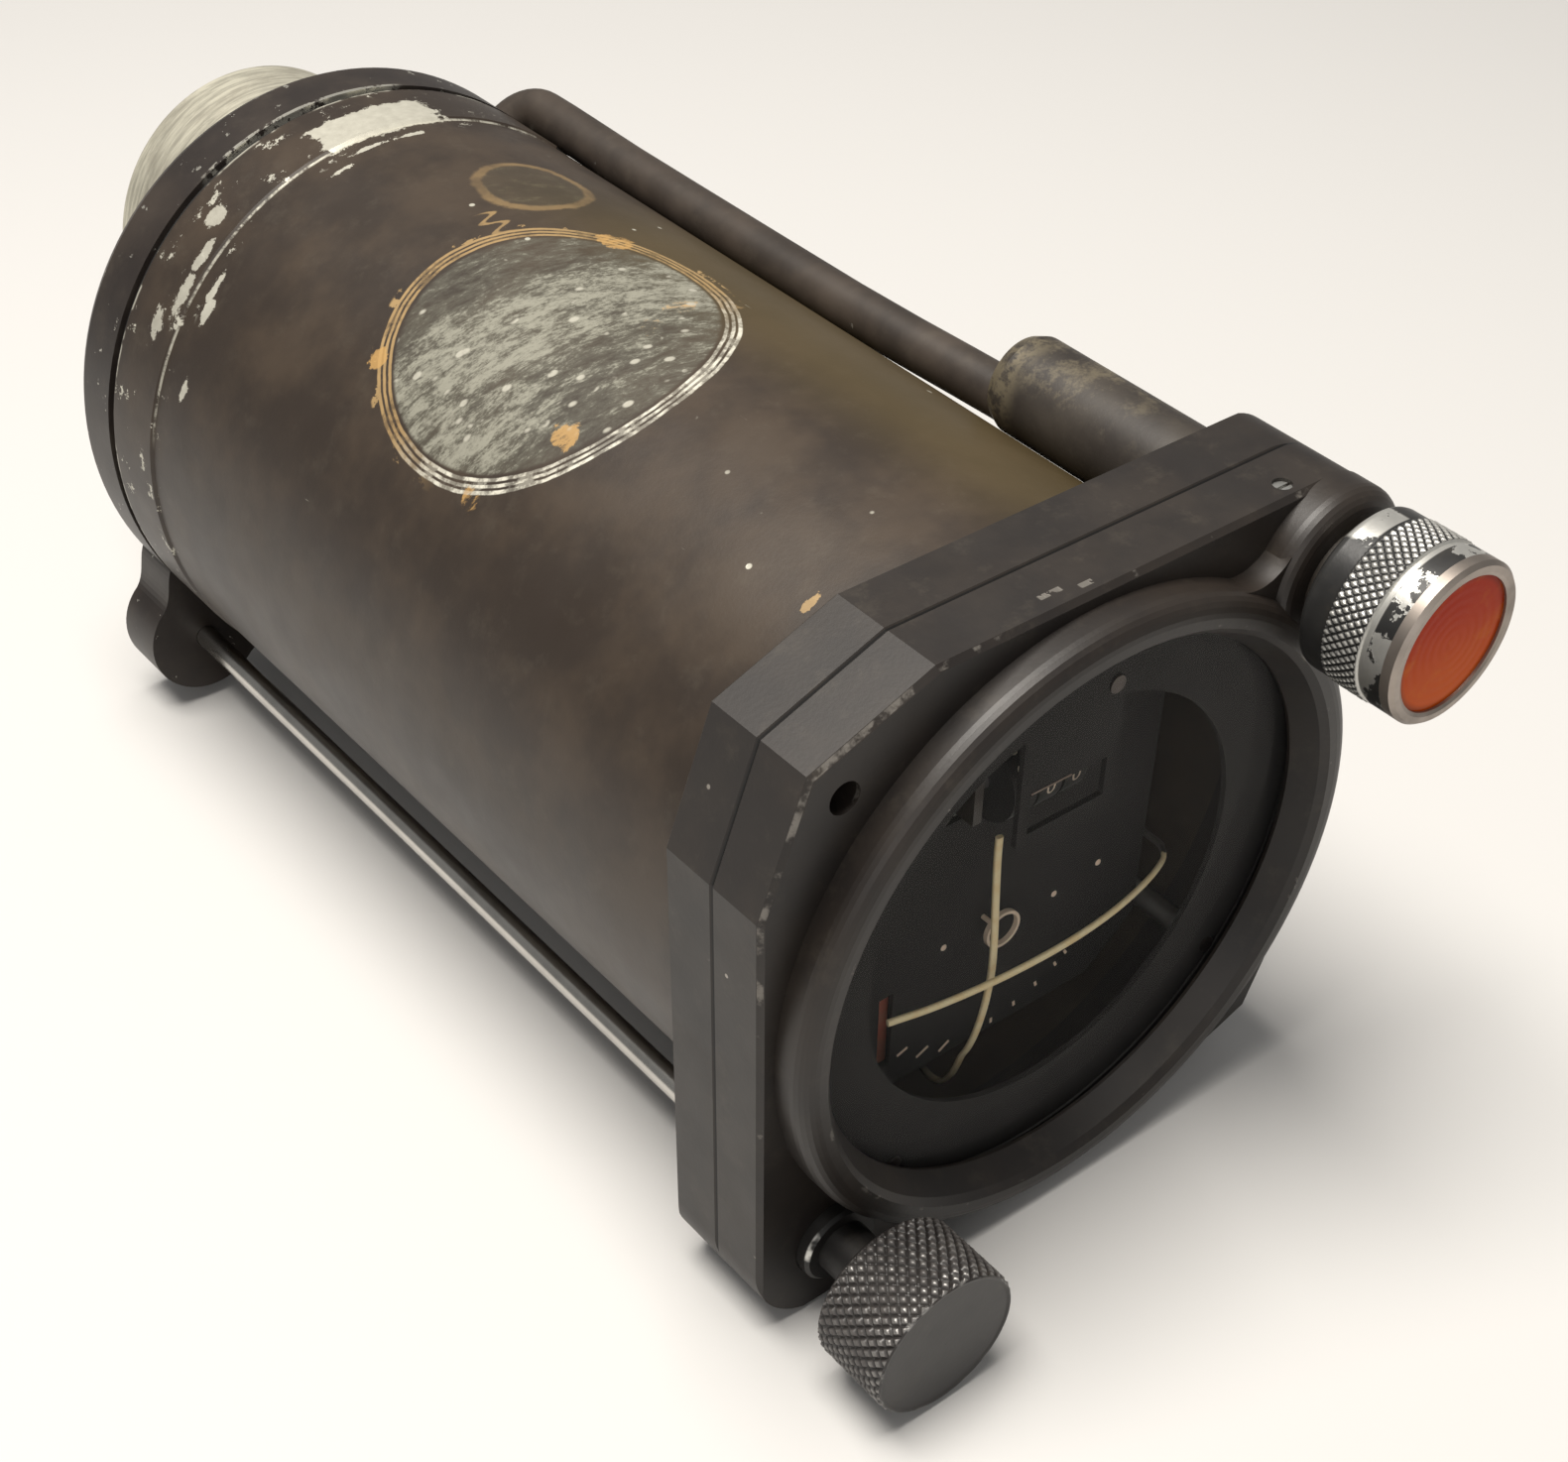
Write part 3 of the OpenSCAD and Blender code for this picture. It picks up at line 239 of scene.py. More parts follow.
def case_paint():
    """Aged black case: bare rear band, round decal outline, small stamp ring, dashes, chips, and an olive
    painted highlight on the upper right.
    """
    f = Finish("case_paint")
    arc, radius, y = f.round_place()
    flat = f.join(arc, y, 0.0)
    ragged = f.noise(230, 5, 0.7, flat, 0.6)
    coarse = f.noise(75, 4, 0.65, flat)
    wobble = f.times(f.minus(f.noise(150, 4, 0.6, flat), 0.5), 0.0016)
    torn = f.noise(420, 6, 0.75, flat)

    def flake(a, depth, half_arc, half_depth, raggedness):
        """Oval with a torn edge; its place and half sizes are in millimetres."""
        u = f.math("DIVIDE", f.minus(arc, a * MM), half_arc * MM)
        v = f.math("DIVIDE", f.minus(y, depth * MM), half_depth * MM)
        edge = f.plus(f.reach(u, v), f.times(f.minus(torn, 0.5), raggedness * 4))
        return f.between(edge, 0.94, 1.0, 1.0, 0.0)

    # Bare metal along the raised rear band, widest near the top
    rear = f.between(y, 0.1262, 0.1285)
    arc_torn = f.plus(arc, f.times(f.minus(torn, 0.5), 0.008))
    y_torn = f.plus(y, f.times(f.minus(f.noise(300, 6, 0.75, flat), 0.5), 0.004))
    top_patch = f.both(f.band(arc_torn, 0.0002, 0.0082, 0.0004), f.band(y_torn, 0.1320, 0.0032, 0.0003),
                       f.between(torn, 0.33, 0.36))
    side_patch = f.either(flake(-23.6, 133.8, 1.8, 1.5, 0.45), flake(-28.2, 131.2, 2.6, 0.8, 0.8),
                          flake(-33.5, 130.8, 3.0, 0.9, 0.9), flake(-38.5, 133.2, 1.8, 1.1, 1.1))
    long_chips = f.both(rear, f.band(arc, -0.03, 0.035, 0.02),
                        f.between(f.noise(210, 6, 0.78, flat), 0.6, 0.62))
    lip_line = f.both(f.band(y, 0.1291, 0.0001, 0.00012), f.between(f.noise(240, 5, 0.75, flat), 0.42, 0.56),
                      f.band(arc, -0.014, 0.034, 0.006), 0.7)
    rim_line = f.both(f.between(y, 0.1389, 0.1394), f.between(f.noise(90, 4, 0.7, flat), 0.5, 0.56))
    patch_low = f.either(flake(-30.4, 126.2, 2.2, 0.7, 0.9), flake(-33.6, 125.4, 1.9, 0.9, 0.7),
                         flake(-43.0, 124.0, 1.4, 0.6, 1.2))
    flakes = f.either(flake(-4.0, 126.6, 2.6, 0.35, 1.1), flake(-9.4, 124.9, 1.5, 0.35, 1.1),
                      flake(1.8, 126.4, 2.0, 0.4, 1.1))

    # Round decal: three thin lines with worn metal inside
    across = f.minus(arc, -0.0108)
    along = f.minus(y, 0.0778)
    far = f.reach(across, along)
    steady = f.plus(far, f.times(wobble, 0.35))
    line_breaks = f.noise(190, 5, 0.7, flat)
    lines = f.either(f.band(steady, 0.0216, 0.00016, 0.00014), f.band(steady, 0.02085, 0.00013, 0.00014),
                     f.band(steady, 0.0201, 0.00014, 0.00014))
    lines = f.both(lines, f.between(line_breaks, 0.34, 0.5, 0.35, 1.0))
    between_lines = f.both(f.band(steady, 0.02085, 0.0007, 0.0002), f.between(ragged, 0.5, 0.62))
    fringe = f.both(f.band(far, 0.0222, 0.0005, 0.0004), f.between(line_breaks, 0.57, 0.61))
    inside = f.between(far, 0.0191, 0.0197, 1.0, 0.0)
    lengthwise = f.minus(f.times(arc, 0.95), f.times(along, 0.3))
    crosswise = f.plus(f.times(along, 0.95), f.times(arc, 0.3))
    streak = f.noise(1.0, 8, 0.8, f.join(f.times(lengthwise, 210), f.times(crosswise, 520), 0.0), 0.25)
    grainy = f.noise(1.0, 4, 0.7, f.join(f.times(lengthwise, 1500), f.times(crosswise, 3000), 0.0))
    low_strip = f.both(f.band(crosswise, -0.012, 0.003, 0.005),
                       f.between(lengthwise, -0.022, -0.008, 1.0, 0.3))
    strip = f.either(f.band(crosswise, -0.0005, 0.0035, 0.007), low_strip)
    worn_in = f.plus(f.times(streak, 0.75), f.times(grainy, 0.3))
    worn_in = f.between(f.plus(worn_in, f.times(strip, 0.11)), 0.56, 0.7)
    rubbed = f.both(inside, worn_in)
    dot = f.cells(1.0, f.join(f.times(lengthwise, 300), f.times(crosswise, 430), 0.0))
    dots = f.both(inside, f.between(dot, 0.13, 0.24, 1.0, 0.0),
                  f.between(f.noise(160, 3, 0.6, flat), 0.44, 0.5))
    dull = f.both(inside, f.between(f.plus(streak, f.times(strip, 0.12)), 0.36, 0.66, 0.1, 0.8))

    def patch(a, depth, size, cut):
        """Irregular stain near one place on the tube, given by its arc and depth in millimetres."""
        near = f.reach(f.minus(f.plus(arc, wobble), a * MM), f.minus(y, depth * MM))
        edge = f.plus(near, f.times(f.minus(ragged, 0.5), size * MM * 3))
        spot = f.between(edge, size * MM * 0.8, size * MM, 1.0, 0.0)
        return f.both(spot, f.between(streak, cut, cut + 0.1))

    golden = f.either(patch(-19.5, 63.5, 1.7, 0.4), patch(3.2, 71.4, 1.8, 0.48),
                      patch(-2.3, 69.7, 1.5, 0.52), patch(7.0, 89.3, 2.2, 0.44),
                      patch(-25.3, 94.2, 1.4, 0.36), patch(-31.4, 69.0, 1.5, 0.45))

    # Stamp ring behind the decal, and the zigzag stain between them
    stamp_far = f.reach(f.minus(f.plus(arc, wobble), 0.0072), f.minus(y, 0.107))
    outer = f.plus(stamp_far, f.times(f.minus(ragged, 0.5), 0.0016))
    stamp = f.both(f.band(outer, 0.0069, 0.0003, 0.0006), f.between(coarse, 0.36, 0.56, 0.3, 0.8))
    stamp_fill = f.both(f.between(stamp_far, 0.006, 0.0066, 1.0, 0.0), f.between(streak, 0.5, 0.7, 0.1, 0.5))
    swing = f.times(f.math("SINE", f.plus(f.times(y, 2300), f.times(ragged, 1.5))), 0.0012)
    zigzag = f.both(f.band(f.plus(arc, swing), -0.0026, 0.0003, 0.0004), f.band(y, 0.1006, 0.0026, 0.0006),
                    f.between(coarse, 0.34, 0.5, 0.3, 0.75))

    # Dashed line and orange fleck near the front, nicks and scratches spread over the tube
    dash = f.both(f.band(y, 0.0222, 0.00028, 0.0002), f.band(arc, -0.006, 0.0075, 0.002),
                  f.between(f.noise(260, 3, 0.6, flat), 0.5, 0.56))
    orange = flake(-18.4, 22.4, 1.3, 0.5, 0.9)
    nicks = f.both(specks(f, 190, 0.05, 0.56), f.between(radius, 0.0385, 0.0387))
    scuff = f.noise(1.0, 4, 0.6, f.join(f.times(arc, 1500), f.times(y, 90), 0.0))
    scratch = f.both(f.between(scuff, 0.735, 0.75), f.between(coarse, 0.5, 0.6))

    # Film of paint, then a painted olive highlight and the stains on it, then the lines, then bare metal
    bare = f.either(top_patch, f.times(side_patch, 0.75), long_chips, lip_line, rim_line, patch_low, flakes,
                    nicks, scratch, f.times(rubbed, 0.1), f.times(dots, 0.7))
    tone = paint_film(f, (0.024, 0.0165, 0.0115), (0.046, 0.032, 0.021), (0.36, 0.5), bare)
    # Olive tint painted over the upper right of the tube, where the broad highlight falls: a painted
    # highlight
    olive_highlight = f.both(f.band(arc, 0.0225, 0.011, 0.014), f.band(y, 0.055, 0.03, 0.03))
    tone = f.mix(f.times(olive_highlight, 0.65), tone, (0.07, 0.048, 0.014))
    tone = f.mix(dull, tone, (0.10, 0.096, 0.074))
    tone = f.mix(f.times(rubbed, 0.8), tone, (0.23, 0.225, 0.18))
    tone = f.mix(stamp_fill, tone, (0.12, 0.105, 0.06))
    tan_share = f.between(f.plus(along, f.times(across, 0.25)), -0.010, 0.003)
    outline = f.either(lines, f.times(between_lines, 0.35), fringe, dash)
    tan = f.either(f.both(outline, tan_share), zigzag, orange, f.times(stamp, 0.6))
    bright_lines = f.both(lines, f.between(f.noise(420, 4, 0.7, flat), 0.4, 0.6, 0.25, 0.95))
    silver = f.both(f.either(bright_lines, f.times(between_lines, 0.3)), f.minus(1.0, tan_share))
    tan_tone = f.mix(f.noise(500, 3, 0.6, flat), (0.42, 0.28, 0.12), (0.24, 0.16, 0.075))
    tone = f.mix(f.times(tan, 0.85), tone, tan_tone)
    tone = f.mix(f.times(golden, 0.75), tone, (0.42, 0.25, 0.085))
    metal = f.mix(f.noise(900, 3), (0.70, 0.68, 0.58), (0.46, 0.44, 0.37))
    f.set(Base_Color=f.mix(f.either(bare, silver), tone, metal), Metallic=f.times(bare, 0.45))
    return f.mat


def flange_paint(name, front):
    """Satin black on a faceted flange, rubbed through along its front or rear edge, with painted shade along
    the groove between its two layers.
    """
    f = Finish(name)
    x, y, z = f.axes()
    radius = f.reach(x, z)
    if front:
        rim = f.both(f.band(y, 0.00032, 0.0002, 0.00008), f.between(radius, 0.0402, 0.0406))
        corner = f.between(f.minus(z, x), 0.048, 0.066, 0.12, 0.0)
        patchy = f.between(f.minus(f.noise(300, 5, 0.6), corner), 0.5, 0.62, 0.0, 0.55)
        lip = f.both(f.between(y, -0.0046, -0.0043, 1.0, 0.0), f.band(radius, 0.0362, 0.0002, 0.0003))
        low_line = f.both(f.band(y, -0.0006, 0.00012, 0.0001), f.band(radius, 0.0395, 0.0002, 0.0001),
                          f.between(f.minus(x, z), 0.01, 0.03))
        scrape = f.either(f.both(f.band(x, -0.0045, 0.0012, 0.0003), f.band(y, 0.0026, 0.0003, 0.0001)),
                          f.both(f.band(x, -0.0006, 0.0007, 0.0002), f.band(y, 0.0017, 0.0003, 0.0001)))
        scrape = f.both(scrape, f.between(z, 0.0412, 0.04125), f.between(f.noise(800, 3), 0.42, 0.5))
        worn = f.either(f.both(rim, patchy), f.times(edge_wear(f, lip, 0.6, 0.66, 300), 0.4),
                        f.times(low_line, 0.4), scrape)
    else:
        worn = edge_wear(f, f.between(y, 0.0147, 0.0149), 0.6, 0.66, 300)
    nick = f.both(specks(f, 260, 0.05, 0.6), f.between(radius, 0.0405, 0.041))
    # Near-black line painted where the two layers meet: painted shade in the groove between them
    groove_shade = f.band(y, 0.0076, 0.00012, 0.00008)
    paint_film(f, (0.0115, 0.0088, 0.0075), (0.021, 0.0158, 0.0122), (0.4, 0.54), f.either(worn, nick),
               (0.4, 0.37, 0.33))
    base = f.current("Base Color")
    f.set(Base_Color=f.mix(f.times(groove_shade, 0.85), base, (0.002, 0.002, 0.002)))
    if front:
        ring = f.between(y, -0.0006, -0.0001, 1.0, 0.0)
        rough = f.current("Roughness")
        f.set(Roughness=f.blend(f.times(ring, 0.8), rough, 0.42))
    return f.mat


def plain_paint(name, share, dark=(0.016, 0.0115, 0.009), light=(0.032, 0.0235, 0.0175), rough=(0.36, 0.52)):
    """Satin black paint with sparse small chips."""
    f = Finish(name)
    chips = f.between(f.noise(330, 5, 0.72), share, share + 0.02)
    paint_film(f, dark, light, rough, chips)
    return f.mat


def cover_paint():
    """Rear cover: satin black, chipped to metal along its front edge near the top."""
    f = Finish("cover_paint")
    arc, _, y = f.round_place()
    chips = f.between(f.noise(330, 5, 0.72), 0.66, 0.68)
    edge = f.both(f.between(y, 0.1411, 0.1414, 1.0, 0.0), f.band(arc, -0.006, 0.012, 0.004),
                  f.between(f.noise(330, 5, 0.7), 0.44, 0.52))
    paint_film(f, (0.017, 0.0125, 0.0105), (0.034, 0.0255, 0.020), (0.36, 0.5), f.either(chips, edge),
               (0.7, 0.68, 0.6))
    return f.mat


def lamp_tube_paint():
    """Lamp tube: paint rubbed to brass-coloured metal at its rear end and along its top."""
    f = Finish("lamp_tube_paint")
    arc, _, y = f.round_place(*LAMP)
    rear = f.both(f.band(y, 0.0455, 0.0018, 0.004), f.between(f.noise(330, 6, 0.75), 0.44, 0.6))
    top = f.both(f.band(arc, 0.004, 0.03, 0.02), f.between(f.noise(190, 6, 0.8), 0.46, 0.68),
                 f.between(y, 0.018, 0.034))
    paint_film(f, (0.022, 0.0175, 0.0145), (0.046, 0.038, 0.03), (0.42, 0.56),
               f.times(f.either(rear, f.times(top, 0.5)), 0.4), (0.42, 0.35, 0.22))
    base = f.current("Base Color")
    f.set(Base_Color=f.mix(f.times(f.either(top, rear), 0.6), base, (0.13, 0.11, 0.075)))
    return f.mat


def knurl_paint():
    """Black knurled grip: crests shine through to bare metal and are painted a lighter grey as a highlight;
    grooves stay dark.
    """
    f = Finish("knurl_paint")
    crest = f.attribute("crest")
    _, radius, y = f.round_place(*KNOB)
    near_front = f.between(y, -0.0182, -0.0170, 0.55, 0.0)
    shine = f.plus(f.noise(330, 4, 0.7), near_front)
    lit = f.both(f.between(crest, 0.62, 0.95), f.between(shine, 0.42, 0.72))
    # Crests painted lighter grey over the side, short of the front face: a painted highlight on the crests
    crest_highlight = f.both(f.between(crest, 0.25, 0.9, 0.0, 0.5), f.between(y, -0.0193, -0.0192))
    rim = f.both(f.band(radius, 0.0093, 0.00022, 0.0001), f.band(y, -0.0192, 0.0003, 0.0001))
    rim = f.both(rim, f.between(f.noise(500, 4, 0.6), 0.5, 0.65))
    paint_film(f, (0.014, 0.012, 0.0115), (0.03, 0.027, 0.0255), (0.34, 0.44),
               f.either(f.times(lit, 0.8), f.times(rim, 0.5)), (0.5, 0.49, 0.47))
    base = f.current("Base Color")
    f.set(Base_Color=f.mix(crest_highlight, base, (0.11, 0.10, 0.095)))
    return f.mat


def bush_paint():
    """Bearing bush: black with its front edge worn to bright metal."""
    f = Finish("bush_paint")
    arc, radius, y = f.round_place(*KNOB)
    edge = f.both(f.band(y, -0.0016, 0.00025, 0.00012), f.between(radius, 0.0044, 0.0046),
                  f.between(f.noise(260, 3), 0.36, 0.46))
    sector = f.both(f.between(arc, -0.068, -0.058), f.between(arc, -0.028, -0.02, 1.0, 0.0))
    paint_film(f, (0.010, 0.009, 0.0085), (0.018, 0.0165, 0.0155), (0.4, 0.5), f.both(edge, sector),
               (0.75, 0.74, 0.7))
    return f.mat


def cap_paint():
    """Lamp cap: bright worn knurl, black bands with big flakes of bare metal."""
    f = Finish("cap_paint")
    crest = f.attribute("crest")
    arc, _, y = f.round_place(*LAMP)
    above = f.band(arc, -0.006, 0.011, 0.003)
    flake = f.between(f.noise(150, 5, 0.7), 0.45, 0.47)
    rear = f.both(f.between(y, -0.0094, -0.0092), flake)
    mid = f.both(f.band(y, -0.01, 0.0016, 0.0005), f.between(f.noise(240, 4, 0.6), 0.6, 0.62))
    knurl = f.both(f.between(crest, 0.35, 0.8), f.between(f.noise(130, 3), 0.3, 0.5))
    groove = f.band(y, -0.0147, 0.00035, 0.0002)
    frontal = f.both(f.band(y, -0.0163, 0.0014, 0.0002), f.between(f.noise(230, 5, 0.65), 0.51, 0.535))
    bare = f.either(f.both(f.either(rear, mid), above), frontal, knurl, groove)
    paint_film(f, (0.012, 0.012, 0.012), (0.03, 0.029, 0.028), (0.3, 0.42), f.times(bare, 0.9),
               (0.72, 0.71, 0.67))
    return f.mat


def bright_metal(name, tone, rough, streak=(1, 60, 1), dull=0.25):
    """Bare metal with fine streaks along one direction and dull clouds."""
    f = Finish(name)
    lines = f.noise(900, 4, 0.6, f.spread(streak))
    cloud = f.between(f.noise(120, 4, 0.65), 0.4, 0.75)
    mixed = f.mix(f.times(cloud, dull), tone, tuple(v * 0.45 for v in tone))
    f.set(Base_Color=f.mix(f.times(lines, 0.4), mixed, tuple(v * 0.7 for v in tone)), Metallic=1.0)
    f.set(Roughness=f.blend(lines, rough[0], rough[1]))
    f.bump(lines, 0.12, 0.00004)
    return f.mat


def shell_metal():
    """Dull machined aluminium of the connector shell: fine turned lines round it, and dark stains."""
    f = Finish("shell_metal")
    arc, _, y = f.round_place(0, 12)
    turned = f.noise(1.0, 5, 0.7, f.join(f.times(arc, 70), f.times(y, 1300), 0.0), 0.3)
    stain = f.noise(1.0, 5, 0.7, f.join(f.times(arc, 50), f.times(y, 260), 0.0))
    stain = f.between(stain, 0.46, 0.7)
    tone = f.mix(f.between(turned, 0.35, 0.65), (0.68, 0.65, 0.53), (0.40, 0.38, 0.31))
    f.set(Base_Color=f.mix(f.times(stain, 0.6), tone, (0.2, 0.185, 0.15)), Metallic=0.55)
    f.set(Roughness=f.blend(stain, 0.4, 0.6))
    f.bump(turned, 0.25, 0.00005)
    return f.mat


def dial_paint(name, tone, rough):
    """Dead flat dial paint with a faint grain and a little dust."""
    f = Finish(name)
    grain = f.noise(260, 4, 0.6)
    dust = f.between(f.noise(500, 5, 0.8), 0.62, 0.85)
    f.set(Base_Color=f.mix(f.times(dust, 0.05), f.mix(grain, tone, tuple(v * 1.3 for v in tone)),
                           (0.2, 0.17, 0.15)))
    f.set(Roughness=f.blend(grain, rough - 0.05, rough + 0.05))
    return f.mat


def cream_paint(name, tone, aged):
    """Aged luminous cream: brighter in front, dark with depth behind the glass and past the painted end."""
    f = Finish(name)
    x, y, _ = f.axes()
    patch = f.noise(450, 4, 0.6)
    past_end = f.both(f.between(x, PAINTED_END, PAINTED_END + 0.0002), f.between(y, 0.007, 0.0072))
    back = f.either(f.between(y, 0.0125, 0.0175), past_end)
    fresh = f.mix(f.between(patch, 0.4, 0.7), tone, aged)
    f.set(Base_Color=f.mix(back, fresh, (0.06, 0.055, 0.05)), Roughness=f.blend(patch, 0.5, 0.7))
    f.bump(patch, 0.15, 0.00004)
    return f.mat


def amber_lens():
    """Amber lens: warm body colour, painted brighter at the bottom and deeper at the top as light shining
    through it, deeper at the rim, with faint moulded rings.
    """
    f = Finish("amber_lens")
    radius = f.round_place(*LAMP)[1]
    z = f.axes()[2]
    # Lower part painted brighter orange, top deeper red: painted light shining through the lens
    height = f.plus(f.minus(z, LAMP[1] * MM), f.times(f.noise(170, 3), 0.004))
    low = f.between(height, -0.005, 0.008, 1.0, 0.0)
    swirl = f.noise(260, 5, 0.65)
    body = f.mix(low, (0.62, 0.036, 0.002), (0.86, 0.13, 0.004))
    rim = f.between(radius, 0.0068, 0.0077)
    body = f.mix(f.times(rim, 0.6), body, (0.16, 0.014, 0.002))
    swirl = f.times(f.between(swirl, 0.5, 0.8), 0.4)
    f.set(Base_Color=f.mix(swirl, body, (0.92, 0.30, 0.012)), Roughness=0.2)
    f.shader.inputs["Specular IOR Level"].default_value = 0.12
    f.shader.inputs["IOR"].default_value = 1.33
    f.bump(f.math("SINE", f.times(radius, 5200.0)), 0.12, 0.00006)
    return f.mat


def clear_glass(name, tone=(0.97, 0.96, 0.945)):
    """Clear glass that lets light through to the dial, with faint smears in its tint."""
    f = Finish(name)
    smear = f.noise(70, 5, 0.7)
    f.set(Base_Color=f.mix(f.between(smear, 0.45, 0.7), tone, tuple(v * 0.97 for v in tone)), Roughness=0.0)
    f.shader.inputs["Transmission Weight"].default_value = 1.0
    f.shader.inputs["IOR"].default_value = 1.06
    clear = f.tree.nodes.new("ShaderNodeBsdfTransparent")
    pick = f.tree.nodes.new("ShaderNodeMixShader")
    rays = f.tree.nodes.new("ShaderNodeLightPath")
    f.put(pick.inputs[0], f.either(rays.outputs["Is Shadow Ray"], rays.outputs["Is Diffuse Ray"]))
    f.put(pick.inputs[1], f.shader.outputs[0])
    f.put(pick.inputs[2], clear.outputs[0])
    f.put(f.out.inputs[0], pick.outputs[0])
    return f.mat


def soft_black(name, tone=(0.012, 0.012, 0.012), rough=0.7):
    """Rubber or moulded insulator with a fine grain."""
    f = Finish(name)
    grain = f.noise(1500, 4, 0.6)
    f.set(Base_Color=f.mix(grain, tone, tuple(v * 2.2 for v in tone)))
    f.set(Roughness=f.blend(grain, rough - 0.12, rough + 0.1))
    f.bump(grain, 0.2, 0.00005)
    return f.mat


def build(name, points, faces, body, material, smooth=35.0, crest=None):
    """One finished piece from points in millimetres and faces; its normals are turned outwards."""
    mesh = bpy.data.meshes.new(name)
    mesh.from_pydata((np.asarray(points, float) * MM).tolist(), [], faces)
    if crest is not None:
        layer = mesh.attributes.new("crest", "FLOAT", "POINT")
        layer.data.foreach_set("value", np.asarray(crest, np.float32))
    work = bmesh.new()
    work.from_mesh(mesh)
    bmesh.ops.recalc_face_normals(work, faces=work.faces)
    work.to_mesh(mesh)
    work.free()
    mesh.polygons.foreach_set("use_smooth", np.ones(len(mesh.polygons), bool))
    mesh.set_sharp_from_angle(angle=math.radians(smooth))
    mesh.materials.append(material)
    piece = bpy.data.objects.new(name, mesh)
    bpy.context.scene.collection.objects.link(piece)
    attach(piece, body)
    return piece


def lattice(rows, count, closed_rows=False, offset=0):
    """Faces of a grid of rows by count points that wraps round; a closed end is one flat face."""
    i, j = np.meshgrid(np.arange(rows if closed_rows else rows - 1), np.arange(count), indexing="ij")
    k = (i + 1) % rows
    m = (j + 1) % count
    quads = np.stack([i * count + j, i * count + m, k * count + m, k * count + j], -1).reshape(-1, 4) + offset
    faces = quads.tolist()
    if not closed_rows:
        faces.append((np.arange(count) + offset).tolist()[::-1])
        faces.append((np.arange(count) + offset + (rows - 1) * count).tolist())
    return faces


def fine(profile, step):
    """The same outline with extra points, no further apart than step; corners stay."""
    profile = np.asarray(profile, float)
    out = [profile[:1]]
    for a, b in zip(profile[:-1], profile[1:]):
        parts = max(1, int(math.ceil(np.linalg.norm(b - a) / step)))
        share = np.linspace(0, 1, parts + 1)[1:, None]
        out.append(a + (b - a) * share)
    return np.concatenate(out)


def diamonds(turn, depth, count, pitch):
    """Height of a diamond knurl, 0 in its grooves to 1 on its crests: the lower of two slanted saw waves.

    It is taken 1.55 times and cut off at 1, which flattens the crests.
    """
    a = turn * count / (2 * np.pi) + depth / pitch
    b = turn * count / (2 * np.pi) - depth / pitch
    wave = [1 - np.abs(2 * (v - np.floor(v)) - 1) for v in (a, b)]
    return np.clip(np.minimum(wave[0], wave[1]) * 1.55, 0, 1)


def grip(name, centre, profile, zone, count, pitch, cut, around, body, material, node):
    """Turned grip: a profile of radius and depth spun round its axis, its side cut by a diamond knurl.

    zone holds the knurl's two depths and the least radius that it cuts; the cut fades out over 0.25.
    """
    outline = fine(profile, 0.16)
    turn = np.linspace(0, 2 * np.pi, around, endpoint=False)
    radius = np.repeat(outline[:, :1], around, 1)
    depth = np.repeat(outline[:, 1:], around, 1)
    share = np.clip((depth - zone[0]) / 0.25, 0, 1) * np.clip((zone[1] - depth) / 0.25, 0, 1)
    share = share * (radius > zone[2])
    height = diamonds(turn[None, :], depth, count, pitch)
    crest = np.where(share > 0.4, height, 0.0)
    radius = radius - cut * share * (1 - height)
    points = np.stack([centre[0] + radius * np.cos(turn), depth, centre[1] + radius * np.sin(turn)], -1)
    piece = build(name, points.reshape(-1, 3), lattice(len(outline), around, True), body, material, 40,
                  crest.reshape(-1))
    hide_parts(node)
    return piece


def smooth_path(points, parts=8):
    """Catmull-Rom curve through the points, with parts steps between neighbours."""
    p = np.asarray(points, float)
    p = np.vstack([2 * p[0] - p[1], p, 2 * p[-1] - p[-2]])
    t = np.linspace(0, 1, parts, endpoint=False)[:, None]
    out = []
    for a, b, c, d in zip(p[:-3], p[1:-2], p[2:-1], p[3:]):
        square = 2 * a - 5 * b + 4 * c - d
        cube = 3 * b - a - 3 * c + d
        out.append(0.5 * (2 * b + (c - a) * t + square * t ** 2 + cube * t ** 3))
    out.append(p[-2:-1])
    return np.concatenate(out)


def needle(name, path, side, wide, thick, node, body, turn, extra):
    """Needle: an oval section carried along a bowed path; side is the direction of its width.

    The section is an oval with flattened sides: cosine and sine to the power 0.7. extra holds round pins
    on the same staff, each as two ends and a radius. All of it turns about an upright line at the staff.
    """
    path = smooth_path(path)
    ahead = np.gradient(path, axis=0)
    ahead /= np.linalg.norm(ahead, axis=1, keepdims=True)
    side = np.broadcast_to(np.asarray(side, float), path.shape)
    out = np.cross(ahead, side)
    angle = np.linspace(0, 2 * np.pi, 16, endpoint=False)
    ring_w = np.sign(np.cos(angle)) * np.abs(np.cos(angle)) ** 0.7 * wide / 2
    ring_t = np.sign(np.sin(angle)) * np.abs(np.sin(angle)) ** 0.7 * thick / 2
    points = path[:, None] + side[:, None] * ring_w[None, :, None] + out[:, None] * ring_t[None, :, None]
    cloud = [points.reshape(-1, 3)]
    faces = lattice(len(path), 16)
    total = len(cloud[0])
    for low, high, radius in extra:
        ends = np.array([low, high], float)
        along = (ends[1] - ends[0]) / np.linalg.norm(ends[1] - ends[0])
        # A slanted direction that no pin has gives the first side of its ring
        u = np.cross(along, (0.3, 0.9, 0.2))
        u /= np.linalg.norm(u)
        v = np.cross(along, u)
        loop = radius * (np.cos(angle)[:, None] * u + np.sin(angle)[:, None] * v)
        cloud.append((ends[:, None] + loop[None]).reshape(-1, 3))
        faces += lattice(2, 16, offset=total)
        total += 32
    cloud = np.concatenate(cloud)
    spin = np.array([[math.cos(turn), -math.sin(turn), 0], [math.sin(turn), math.cos(turn), 0], [0, 0, 1]])
    cloud = cloud @ spin.T + (0, STAFF_Y, 0)
    piece = build(name, cloud, faces, body, MAT["needle"], 50)
    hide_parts(node)
    return piece


